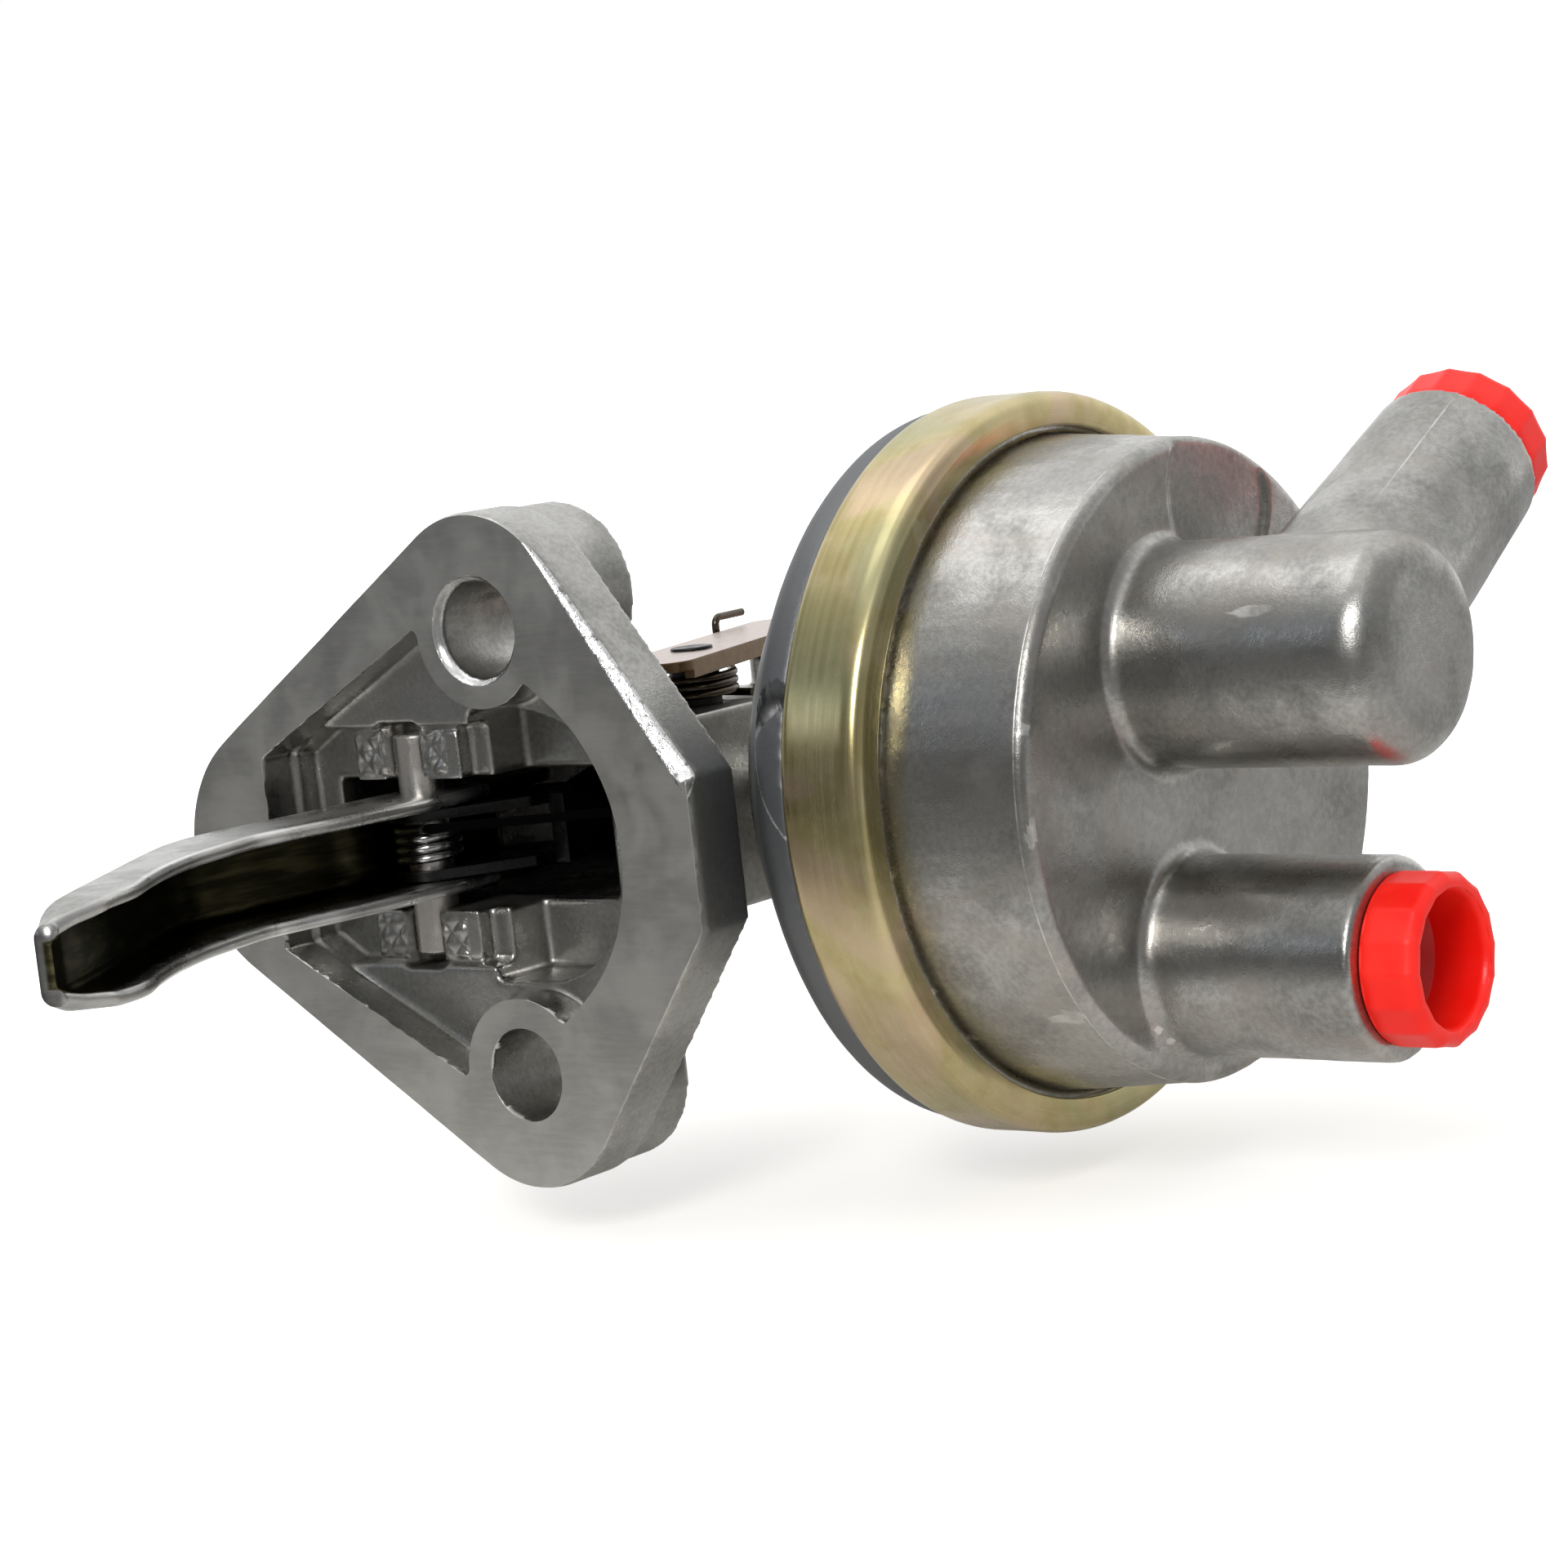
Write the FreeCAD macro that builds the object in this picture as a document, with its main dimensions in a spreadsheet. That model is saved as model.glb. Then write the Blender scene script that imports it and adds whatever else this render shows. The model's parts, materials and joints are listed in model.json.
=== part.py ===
import FreeCAD, Part
import math
import os
import Sketcher
from FreeCAD import Placement, Rotation, Vector

# Mechanical fuel pump with a two-bolt flange, rocker lever, crimped diaphragm chamber and priming lever.
# X runs from the mounting face into the pump, Y from the ports towards the lever's pin side,
# Z along the line through both bolts. The origin is the middle of the bolt line on the mounting face.
# Millimetres.

SIZES = [
    ("bolt_pitch", 42.0, "between the two bolt holes"),
    ("bolt_hole_r", 4.5, "hole for an 8 mm bolt"),
    ("hole_mouth_r", 5.3, "counterbore at the upper hole's mouth"),
    ("hole_mouth_depth", 0.4, "depth of that counterbore"),
    ("flange_thick", 6.5, "mounting flange"),
    ("flange_lobe_r", 11.0, "flange corner around each bolt"),
    ("flange_side_r", 13.5, "rounded corner on the lever's side"),
    ("flange_side_y", 28.3, "centre of that corner"),
    ("flange_edge_y", 23.8, "straight edge on the chamber's side"),
    ("flange_edge_half", 7.0, "half the length of the straight edge"),
    ("flange_bevel", 0.7, "machined edge of the flange"),
    ("wall_inset", 0.3, "how far behind the bevel the walls start"),
    ("bolt_boss_r", 8.8, "boss behind the flange"),
    ("bolt_boss_shift", 1.9, "boss centre outside the hole's centre"),
    ("bolt_boss_length", 13.0, "from the mounting face to the boss end"),
    ("hole_wall_r", 7.3, "wall around a bolt hole inside the recess"),
    ("recess_depth", 4.3, "floor of the recess beside the bolt holes"),
    ("trough_depth", 7.0, "floor of the trough that holds the pin blocks"),
    ("trough_half", 11.6, "half the trough's height"),
    ("trough_corner_y", 26.0, "where the trough starts to narrow"),
    ("trough_end_y", 29.9, "trough's end on the lever's side"),
    ("trough_end_half", 9.2, "half the trough's height at its end"),
    ("recess_side_y", 30.5, "recess edge on the lever's side"),
    ("recess_side_half", 9.5, "half the length of that edge"),
    ("recess_tip_y", 4.0, "where the recess is tallest"),
    ("recess_tip_half", 23.5, "half its height there"),
    ("recess_arc_y", 2.7, "centre of the round end on the chamber's side"),
    ("recess_arc_r", 17.7, "radius of that round end"),
    ("step_depth", 12.0, "floor beside the pin blocks"),
    ("step_arc_y", 0.5, "centre of the stepped floor's round end"),
    ("step_arc_r", 13.0, "radius of that round end"),
    ("step_far_y", 6.3, "side of the pin blocks"),
    ("step_half", 13.0, "half height of the stepped floor"),
    ("block_front", 5.0, "front of the pin blocks"),
    ("block_inner", 6.4, "pin block's face beside the lever"),
    ("block_outer", 11.0, "pin block's outer side"),
    ("block_far_y", 22.5, "pin block on the lever's side"),
    ("block_near_y", 8.6, "pin block on the chamber's side"),
    ("passage_far_y", 27.0, "lever passage, far side"),
    ("passage_near_y", 3.4, "lever passage, chamber side"),
    ("passage_end", 46.0, "end of the lever passage"),
    ("gallery_start", 14.0, "where the passage grows wider"),
    ("gallery_half", 7.8, "half height of the wide part"),
    ("housing_wall", 2.0, "wall of the rocker housing"),
    ("housing_foot", 2.0, "extra metal on the chamber side"),
    ("housing_round", 4.0, "outer corner of the housing"),
    ("pin_x", 7.0, "pivot pin from the mounting face"),
    ("pin_y", 15.9, "pivot pin from the bolt line"),
    ("pin_r", 2.2, "pivot pin"),
    ("pin_half", 10.8, "half the pin's length"),
    ("slot_half", 12.0, "half the distance between the ends of both slots"),
    ("pin_fit", 0.05, "running clearance on the pin"),
    ("pin_bevel", 0.26, "bevel at the pin's ends"),
    ("seat_fit", 0.02, "clearance of a seated pin"),
    ("stake_mouth", 0.5, "how much wider the slot's mouth is, each side"),
    ("stake_length", 1.0, "how far the wide mouth reaches into the block"),
    ("lever_half", 4.9, "half the lever's width"),
    ("lever_metal", 1.4, "lever sheet"),
    ("lever_pad_r", 2.4, "rounded end of the lever"),
    ("lever_pad_y", 3.4, "centre of that end"),
    ("lever_pad_x", 50.6, "centre of the lever's rounded end"),
    ("lever_bend_x", 16.5, "bend of the lever, outside the mounting face"),
    ("lever_bend_y", 7.5, "centre of the bend"),
    ("lever_bend_r", 16.0, "outside of the bend"),
    ("lever_hollow_r", 20.3, "open edge along the bend"),
    ("lever_hollow_x", 8.0, "centre of that hollow arc"),
    ("lever_hollow_y", 4.5, "centre of that hollow arc"),
    ("lever_opening", 20.0, "how far the lever's inside is cut past its open edge"),
    ("lever_run_x", 9.1, "point past the tip on the web's inner face"),
    ("lever_run_y", 4.2, "point past the tip on the web's inner face"),
    ("lever_eye_r", 4.6, "lever cheek around the pin"),
    ("lever_inner_x", 22.0, "inner end of the lever"),
    ("lever_inner_drop", 3.2, "inner end below the pin"),
    ("lever_back_y", 21.6, "web of the lever at the pin"),
    ("bend_round", 1.5, "outside of the sheet's long bends"),
    ("rocker_wire_r", 0.45, "return spring wire"),
    ("rocker_turns", 3.25, "turns of the return spring"),
    ("rocker_coil_gap", 0.25, "between the coil and the pin"),
    ("rocker_side_gap", 0.35, "between the coil and the link"),
    ("rocker_lead", 3.0, "straight start of the return spring"),
    ("rocker_run", 4.0, "run of its leg before the knee"),
    ("rocker_leg_x", 13.0, "end of its leg on the casting"),
    ("link_half", 3.4, "half the width of the link's cheeks"),
    ("link_metal", 1.0, "link sheet"),
    ("link_eye_r", 3.6, "link cheek around the pin"),
    ("link_elbow_x", 13.0, "inner corner of the link"),
    ("link_elbow_y", 7.6, "inner corner of the link"),
    ("link_foot_x", 23.0, "end of the link's cheeks"),
    ("link_foot", 2.0, "slope at that end"),
    ("link_back_x", 16.0, "outer corner of the link"),
    ("link_back_y", 16.9, "outer corner of the link"),
    ("link_back_r", 2.5, "outer corner of the link"),
    ("fork_y", 6.0, "fork of the link, centre of its sheet"),
    ("fork_metal", 1.8, "fork sheet"),
    ("fork_half", 5.0, "half the fork's width"),
    ("fork_gap", 0.5, "side clearance of the fork on the rod"),
    ("fork_end", 2.6, "fork reach beyond the rod's axis"),
    ("fork_root_x", 15.0, "where the fork's sheet starts"),
    ("fork_wide_x", 30.0, "where the fork has its full width"),
    ("fork_shift", 0.9, "slot end set back, as the fork moves outwards when it lifts"),
    ("axis_x", 38.0, "chamber axis from the mounting face"),
    ("axis_z", 2.2, "chamber axis from the lever's mid plane"),
    ("ring_r", 35.0, "outside of the crimped ring"),
    ("ring_metal", 0.9, "ring sheet"),
    ("ring_round", 0.54, "rounded front corner of the ring"),
    ("ring_back_y", 31.4, "ring's back lip"),
    ("ring_front_y", 40.3, "ring's front lip"),
    ("ring_lip_r", 31.5, "inside of the front lip"),
    ("ring_groove", 1.2, "groove in the bowl for the back lip"),
    ("ring_fit", 0.02, "between the ring and what it clamps"),
    ("bowl_r", 34.2, "bowl rim"),
    ("bowl_back_y", 28.4, "where the bowl starts to round off"),
    ("bowl_shoulder_r", 25.0, "bowl where its roof starts"),
    ("bowl_shoulder_y", 20.0, "plane of that shoulder"),
    ("bowl_round", 3.4, "rounding of the bowl's two corners"),
    ("bowl_top_r", 12.0, "bowl beside the neck"),
    ("bowl_top_y", 14.5, "plane beside the neck"),
    ("bowl_wall", 3.0, "wall of the bowl"),
    ("bowl_room_r", 28.2, "inside of the bowl"),
    ("bowl_room_y", 29.4, "where the inside starts to narrow"),
    ("neck_r", 8.3, "neck between housing and bowl"),
    ("neck_z", 0.9, "neck axis from the lever's mid plane"),
    ("clamp_y", 35.4, "bowl's clamping face"),
    ("diaphragm_metal", 1.0, "diaphragm thickness"),
    ("plate_metal", 1.0, "diaphragm plates"),
    ("plate_r", 18.0, "diaphragm plates"),
    ("plate_dish", 2.0, "width of the plate's dished edge"),
    ("plate_lip", 2.0, "rise of that edge"),
    ("rod_r", 2.4, "pull rod"),
    ("rod_fit", 0.08, "rod in its guide"),
    ("rod_head_r", 4.3, "head of the pull rod"),
    ("rod_head", 1.8, "thickness of that head"),
    ("rod_foot_r", 3.8, "riveted foot of the pull rod"),
    ("rod_foot", 1.2, "riveted foot of the pull rod"),
    ("seat_gap", 0.25, "between seated pieces of different bodies"),
    ("seal_r", 5.0, "oil seal"),
    ("seal_length", 5.0, "oil seal"),
    ("retainer_r", 7.6, "seal retainer"),
    ("retainer_metal", 0.8, "seal retainer"),
    ("retainer_gap", 0.3, "retainer around the rod"),
    ("spring_r", 11.5, "diaphragm spring, middle of the wire"),
    ("spring_wire_r", 1.0, "diaphragm spring wire"),
    ("spring_turns", 4.0, "diaphragm spring"),
    ("cover_base_r", 30.8, "cover beside the ring"),
    ("cover_rim_r", 29.6, "cover at its end"),
    ("cover_end_y", 54.3, "cover's end face"),
    ("boss_root", 1.0, "how far a boss reaches into the cover"),
    ("cut_lap", 1.0, "overlap of two cuts that meet"),
    ("cover_bevel", 0.7, "bright edge of the end face"),
    ("cover_wall", 3.0, "wall of the cover"),
    ("cover_room", 5.0, "room above the diaphragm"),
    ("dome_x", 33.0, "closed port boss from the mounting face"),
    ("dome_z", 12.5, "closed port boss from the mid plane"),
    ("dome_r", 10.3, "closed port boss"),
    ("dome_end_y", 81.1, "end of the closed port boss"),
    ("dome_round", 3.8, "rounded end of that boss"),
    ("arm_y", 70.0, "plane of the elbow's axis"),
    ("arm_rise", 27.4, "degrees that the elbow climbs"),
    ("arm_root_r", 9.3, "elbow at its root"),
    ("arm_end_r", 8.2, "elbow at its end"),
    ("arm_length", 30.0, "elbow from the boss axis"),
    ("spout_x", 32.9, "straight port boss from the mounting face"),
    ("spout_z", 15.0, "straight port boss below the mid plane"),
    ("spout_r", 9.2, "straight port boss"),
    ("spout_end_y", 75.4, "end of the straight port boss"),
    ("port_r", 5.6, "bore of both ports"),
    ("foot_round", 1.5, "fillet at the foot of each boss"),
    ("pad_x", 44.0, "sunk pad on the end face"),
    ("pad_z", 26.0, "sunk pad on the end face"),
    ("pad_r", 8.5, "sunk pad on the end face"),
    ("pad_depth", 0.5, "sunk pad on the end face"),
    ("cage_r", 6.6, "valve cage"),
    ("cage_height", 6.0, "valve cage"),
    ("cage_metal", 0.8, "valve cage"),
    ("disc_r", 4.4, "valve disc"),
    ("disc_metal", 1.2, "valve disc"),
    ("disc_fit", 0.05, "disc above its seat"),
    ("valve_seat_r", 2.8, "hole under the disc"),
    ("valve_vent_r", 1.8, "hole in the cage's lid"),
    ("valve_wire_r", 0.3, "valve spring wire"),
    ("valve_spring_r", 2.6, "valve spring"),
    ("valve_turns", 2.5, "valve spring"),
    ("cap_grip_r", 8.2, "plastic cap on the straight port"),
    ("cap_grip", 5.4, "length of the cap's grip"),
    ("cap_lip", 0.8, "step at the mouth of the cap's hollow"),
    ("cap_bevel", 0.5, "outer edge of the cap"),
    ("cap_post_r", 0.8, "post inside the cap"),
    ("cap_post", 9.6, "length of that post"),
    ("cap_bore_r", 5.4, "hollow of the cap"),
    ("cap_plug", 9.0, "how far a cap reaches into its port"),
    ("cap_skin", 1.2, "wall of the cap's plug"),
    ("cap_fit", 0.02, "cap in its port"),
    ("arm_cap_r", 7.9, "plastic cap on the elbow"),
    ("arm_cap_grip", 4.8, "grip of the elbow's cap"),
    ("primer_x", 30.0, "priming shaft from the mounting face"),
    ("primer_y", 0.6, "priming shaft, chamber side of the bolt line"),
    ("primer_shaft_r", 2.5, "priming shaft"),
    ("shaft_neck_r", 1.7, "riveted neck of the priming shaft"),
    ("shaft_head_r", 2.1, "riveted head"),
    ("shaft_head", 0.3, "riveted head"),
    ("shaft_head_round", 0.15, "edge of the riveted head"),
    ("shaft_blind", 1.0, "wall left under the shaft"),
    ("stop_x", 44.6, "stop post beside the priming spring"),
    ("stop_y", -1.9, "stop post, lever side of the bolt line"),
    ("stop_r", 1.8, "stop post"),
    ("stop_gap", 1.15, "between the post and the plate of the priming lever"),
    ("cam_reach", 4.55, "centre of the cam's nose from the shaft's axis"),
    ("cam_nose_r", 1.2, "nose of the cam"),
    ("cam_angle", 20.0, "where the nose points at rest"),
    ("cam_low", 5.1, "cam beside the pull rod, lower side"),
    ("cam_width", 2.1, "cam"),
    ("primer_plate_z", 14.2, "under side of the priming lever"),
    ("primer_metal", 1.0, "priming lever sheet"),
    ("primer_half", 4.55, "half the priming lever's width"),
    ("primer_turn", 17.0, "degrees that the priming lever is turned at rest"),
    ("primer_back", 13.0, "priming lever behind its shaft"),
    ("primer_front", 29.0, "priming lever beyond its shaft"),
    ("primer_corner", 2.5, "corners of the priming lever"),
    ("primer_skirt", 0.8, "turned-down edge of the priming lever"),
    ("skirt_end", 6.0, "skirt ends this far before the tip"),
    ("primer_coil_r", 3.9, "lowest turn of the priming spring, middle of the wire"),
    ("primer_coil_top_r", 3.2, "highest turn of the priming spring"),
    ("primer_wire_r", 0.4, "priming spring wire"),
    ("primer_lead", 4.0, "straight start of the priming spring"),
    ("primer_gap", 0.85, "coil under the priming lever"),
    ("primer_hook_gap", 1.15, "hook beside the lever's edge"),
    ("primer_hook_u", 19.3, "hook along the lever from its shaft"),
    ("primer_hook_run", 5.0, "length of the hook"),
    ("primer_whole_turns", 3, "turns before the angle that leads to the hook"),
    ("primer_hook_rise", 0.3, "hook above the lever"),
]


class Size:
    """A length together with the sheet formula that it comes from."""

    def __init__(self, value, text):
        self.value = float(value)
        self.text = text

    def __add__(self, other):
        other = as_size(other)
        return Size(self.value + other.value, f"({self.text} + {other.text})")

    def __sub__(self, other):
        other = as_size(other)
        return Size(self.value - other.value, f"({self.text} - {other.text})")

    def __mul__(self, number):
        return Size(self.value * number, f"({self.text} * {number})")

    def __truediv__(self, number):
        return Size(self.value / number, f"({self.text} / {number})")

    def __neg__(self):
        return Size(-self.value, f"(-1 * {self.text})")

    def __radd__(self, number):
        return as_size(number) + self

    def __rsub__(self, number):
        return as_size(number) - self


def as_size(item):
    return item if isinstance(item, Size) else Size(item, str(item))


class Sizes:
    """The driving dimensions, kept in the document's sheet."""

    def __init__(self, document):
        sheet = document.addObject("Spreadsheet::Sheet", "Sizes")
        for row, (name, value, note) in enumerate(SIZES, start=1):
            sheet.set(f"A{row}", name)
            sheet.set(f"B{row}", str(value))
            sheet.set(f"C{row}", note)
            sheet.setAlias(f"B{row}", name)
            setattr(self, name, Size(value, f"Sizes.{name}"))
        document.recompute()


doc = FreeCAD.newDocument("fuel_pump")
S = Sizes(doc)


# Helpers for sketches and features

def bind(item, path, size):
    item.setExpression(path, as_size(size).text)


def new_body(label):
    body = doc.addObject("PartDesign::Body", label)
    body.Label = label
    return body


def sketch_on(body, plane, shift=(0, 0, 0)):
    sketch = body.newObject("Sketcher::SketchObject", "profile")
    base = [item for item in body.Origin.OriginFeatures if item.Role == plane][0]
    sketch.AttachmentSupport = (base, "")
    sketch.MapMode = "FlatFace"
    for axis, size in zip("xyz", shift):
        bind(sketch, f"AttachmentOffset.Base.{axis}", size)
    return sketch


def hold_point(sketch, geometry, end, place):
    for kind, size in zip(("DistanceX", "DistanceY"), place):
        size = as_size(size)
        index = sketch.addConstraint(Sketcher.Constraint(kind, -1, 1, geometry, end, size.value))
        bind(sketch, f"Constraints[{index}]", size)


def circle(sketch, centre, radius):
    place = Vector(as_size(centre[0]).value, as_size(centre[1]).value, 0)
    index = sketch.addGeometry(Part.Circle(place, Vector(0, 0, 1), as_size(radius).value))
    hold_point(sketch, index, 3, centre)
    number = sketch.addConstraint(Sketcher.Constraint("Radius", index, as_size(radius).value))
    bind(sketch, f"Constraints[{number}]", radius)


def polygon(sketch, corners):
    """A closed outline with straight sides through the given corners."""
    places = [Vector(as_size(x).value, as_size(y).value, 0) for x, y in corners]
    lines = []
    for first, second in zip(places, places[1:] + places[:1]):
        lines.append(sketch.addGeometry(Part.LineSegment(first, second)))
    for line, following in zip(lines, lines[1:] + lines[:1]):
        sketch.addConstraint(Sketcher.Constraint("Coincident", line, 2, following, 1))
    for line, corner in zip(lines, corners):
        hold_point(sketch, line, 1, corner)


def rectangle(sketch, low, high):
    polygon(sketch, [low, (high[0], low[1]), high, (low[0], high[1])])


def outline(sketch, corners):
    """A closed anticlockwise outline of arcs joined by tangent lines.

    Each corner is x, y and radius: a hollow arc has a negative radius, a sharp corner has none.
    """
    count = len(corners)
    centres = [Vector(as_size(x).value, as_size(y).value, 0) for x, y, radius in corners]
    radii = [as_size(radius).value if radius is not None else 0.0 for x, y, radius in corners]
    normals = []
    for i in range(count):
        j = (i + 1) % count
        run = centres[j] - centres[i]
        lean = (radii[i] - radii[j]) / run.Length
        run.normalize()
        side = Vector(run.y, -run.x, 0)
        normals.append(side * math.sqrt(1 - lean * lean) + run * lean)
    lines = []
    for i in range(count):
        j = (i + 1) % count
        start = centres[i] + normals[i] * radii[i]
        end = centres[j] + normals[i] * radii[j]
        lines.append(sketch.addGeometry(Part.LineSegment(start, end)))
    for i in range(count):
        before = lines[i - 1]
        if corners[i][2] is None:
            sketch.addConstraint(Sketcher.Constraint("Coincident", before, 2, lines[i], 1))
            hold_point(sketch, lines[i], 1, corners[i][:2])
            continue
        sign = 1 if radii[i] > 0 else -1
        angles = [math.atan2(sign * n.y, sign * n.x) for n in (normals[i - 1], normals[i])]
        start, end = angles if sign > 0 else angles[::-1]
        if end < start:
            end += 2 * math.pi
        ring = Part.Circle(centres[i], Vector(0, 0, 1), abs(radii[i]))
        arc = sketch.addGeometry(Part.ArcOfCircle(ring, start, end))
        entry, leave = (1, 2) if sign > 0 else (2, 1)
        sketch.addConstraint(Sketcher.Constraint("Tangent", before, 2, arc, entry))
        sketch.addConstraint(Sketcher.Constraint("Tangent", arc, leave, lines[i], 1))
        hold_point(sketch, arc, 3, corners[i][:2])
        number = sketch.addConstraint(Sketcher.Constraint("Radius", arc, abs(radii[i])))
        bind(sketch, f"Constraints[{number}]", as_size(corners[i][2]) * sign)


def pad(body, sketch, length, backwards=False, both_ways=False):
    feature = body.newObject("PartDesign::Pad", "pad")
    feature.Profile = sketch
    feature.Reversed = backwards
    if both_ways:
        feature.Midplane = True
    bind(feature, "Length", length)
    return feature


def pocket(body, sketch, length, backwards=False, both_ways=False):
    before = volume_of(body)
    feature = body.newObject("PartDesign::Pocket", "pocket")
    feature.Profile = sketch
    feature.Reversed = backwards
    if both_ways:
        feature.Midplane = True
    bind(feature, "Length", length)
    if volume_of(body) > before - 0.001:
        raise RuntimeError(f"a pocket in {body.Label} cuts nothing")
    return feature


def revolve(body, sketch):
    feature = body.newObject("PartDesign::Revolution", "turned")
    feature.Profile = sketch
    feature.ReferenceAxis = (sketch, ["V_Axis"])
    feature.Angle = 360
    return feature


def groove(body, sketch):
    before = volume_of(body)
    feature = body.newObject("PartDesign::Groove", "groove")
    feature.Profile = sketch
    feature.ReferenceAxis = (sketch, ["V_Axis"])
    feature.Angle = 360
    if volume_of(body) > before - 0.001:
        raise RuntimeError(f"a groove in {body.Label} cuts nothing")
    return feature


def volume_of(body):
    doc.recompute()
    return body.Shape.Volume


def dress(body, kind, size, wanted):
    """Round or bevel the edges of the body that the test picks."""
    doc.recompute()
    base = body.Tip
    names = [f"Edge{i}" for i, edge in enumerate(base.Shape.Edges, start=1) if wanted(edge)]
    if not names:
        raise RuntimeError(f"no edge to dress in {body.Label}")
    feature = body.newObject(f"PartDesign::{kind}", kind.lower())
    feature.Base = (base, names)
    bind(feature, "Radius" if kind == "Fillet" else "Size", size)
    return feature


def middle(edge):
    low, high = edge.ParameterRange
    return edge.valueAt((low + high) / 2)


def is_ring(edge, radius, axis, level):
    """Whether an edge is a circle of this radius in the plane at this level along the axis."""
    if not isinstance(edge.Curve, Part.Circle):
        return False
    centre = edge.Curve.Center
    return abs(edge.Curve.Radius - radius.value) < 0.01 and abs(getattr(centre, axis) - level.value) < 0.01


def on_chamber_axis(body):
    """A sketch through the chamber axis: x is the radius, y the height along Y."""
    return sketch_on(body, "XY_Plane", (S.axis_x, 0, S.axis_z))


def turned(label, corners):
    """A piece turned about the chamber axis from its half section."""
    body = new_body(label)
    sketch = on_chamber_axis(body)
    polygon(sketch, corners)
    revolve(body, sketch)
    return body


def rounded_path(points, radius):
    """Straight runs between the points, joined by tangent arcs."""
    edges = []
    last = points[0]
    for before, corner, after in zip(points, points[1:], points[2:]):
        back = (before - corner).normalize()
        ahead = (after - corner).normalize()
        half = back.getAngle(ahead) / 2
        first = corner + back * (radius / math.tan(half))
        second = corner + ahead * (radius / math.tan(half))
        crown = corner + (back + ahead).normalize() * (radius / math.sin(half) - radius)
        edges.append(Part.LineSegment(last, first).toShape())
        edges.append(Part.Arc(first, crown, second).toShape())
        last = second
    edges.append(Part.LineSegment(last, points[-1]).toShape())
    return edges


def coil(label, centre, axis, radius, wire_r, height, turns, lead=0.0, tail=(), first_angle=0.0, cone=0.0):
    """A round-wire coil along the axis, with a straight lead before it and a bent tail after it.

    The tail's first number is its run along the wire's own heading; steps from there follow.
    """
    helix = Part.makeHelix(height / turns, height, radius, cone).Edges[0]
    edges = [helix]
    start = helix.valueAt(helix.FirstParameter)
    heading = helix.tangentAt(helix.FirstParameter)
    if lead:
        edges.insert(0, Part.LineSegment(start - heading * lead, start).toShape())
        start = start - heading * lead
    if tail:
        end = helix.valueAt(helix.LastParameter)
        points = [end, end + helix.tangentAt(helix.LastParameter) * tail[0]]
        for step in tail[1:]:
            points.append(points[-1] + step)
        edges += rounded_path(points, 2 * wire_r)
    section = Part.Wire(Part.makeCircle(wire_r, start, heading))
    shape = Part.Wire(edges).makePipeShell([section], True, False)
    spring = doc.addObject("Part::Feature", label)
    spring.Label = label
    spring.Shape = shape
    turn = Rotation(Vector(0, 0, 1), first_angle)
    spring.Placement = Placement(centre, Rotation(Vector(0, 0, 1), axis) * turn)
    return spring


# The main casting: flange, pin blocks, rocker housing, neck and diaphragm bowl

def bolt_places():
    return [S.bolt_pitch / 2, -(S.bolt_pitch / 2)]


def flange_outline(sketch):
    top = S.bolt_pitch / 2
    outline(sketch, [
        (-S.flange_edge_y, -S.flange_edge_half, None),
        (0, -top, S.flange_lobe_r),
        (S.flange_side_y, 0, S.flange_side_r),
        (0, top, S.flange_lobe_r),
        (-S.flange_edge_y, S.flange_edge_half, None),
    ])


def recess_corners():
    far, near = S.recess_side_half, S.recess_tip_half
    return [
        (S.recess_arc_y, 0, S.recess_arc_r),
        (S.recess_tip_y, -near, None),
        (S.recess_side_y, -far, None),
        (S.recess_side_y, far, None),
        (S.recess_tip_y, near, None),
    ]


def step_corners():
    return [
        (S.step_arc_y, 0, S.step_arc_r),
        (S.step_far_y, -S.step_half, None),
        (S.step_far_y, S.step_half, None),
    ]


def trough_corners():
    return [
        (0, -S.trough_half, None),
        (S.trough_corner_y, -S.trough_half, None),
        (S.trough_end_y, -S.trough_end_half, None),
        (S.trough_end_y, S.trough_end_half, None),
        (S.trough_corner_y, S.trough_half, None),
        (0, S.trough_half, None),
    ]


def recess_levels():
    return (
        (recess_corners(), S.recess_depth),
        (trough_corners(), S.trough_depth),
        (step_corners(), S.step_depth),
    )


def grown(corners, wall):
    """The same outline, moved out by a wall."""
    return [(y, z, wall if radius is None else radius + wall) for y, z, radius in corners]


def wall_start():
    return S.flange_bevel + S.wall_inset


def housing_half():
    return S.gallery_half + S.housing_wall


def add_flange(body):
    sketch = sketch_on(body, "YZ_Plane")
    flange_outline(sketch)
    pad(body, sketch, S.flange_thick)
    dress(body, "Chamfer", S.flange_bevel, lambda edge: abs(middle(edge).x) < 0.001)


def add_housing(body):
    """The rocker housing and the walls that carry the recess floors."""
    start = wall_start()
    for corners, depth in recess_levels():
        sketch = sketch_on(body, "YZ_Plane", (0, 0, start))
        outline(sketch, grown(corners, S.housing_wall))
        pad(body, sketch, depth + S.housing_wall - start)
    sketch = sketch_on(body, "YZ_Plane", (0, 0, start))
    half = housing_half()
    foot = S.passage_near_y + S.housing_wall + S.housing_foot
    rectangle(sketch, (-foot, -half), (S.passage_far_y + S.housing_wall, half))
    pad(body, sketch, far_end_of_housing() - start)


def add_neck(body):
    sketch = sketch_on(body, "XZ_Plane")
    circle(sketch, (S.axis_x, S.neck_z), S.neck_r)
    pad(body, sketch, S.bowl_shoulder_y)


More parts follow.
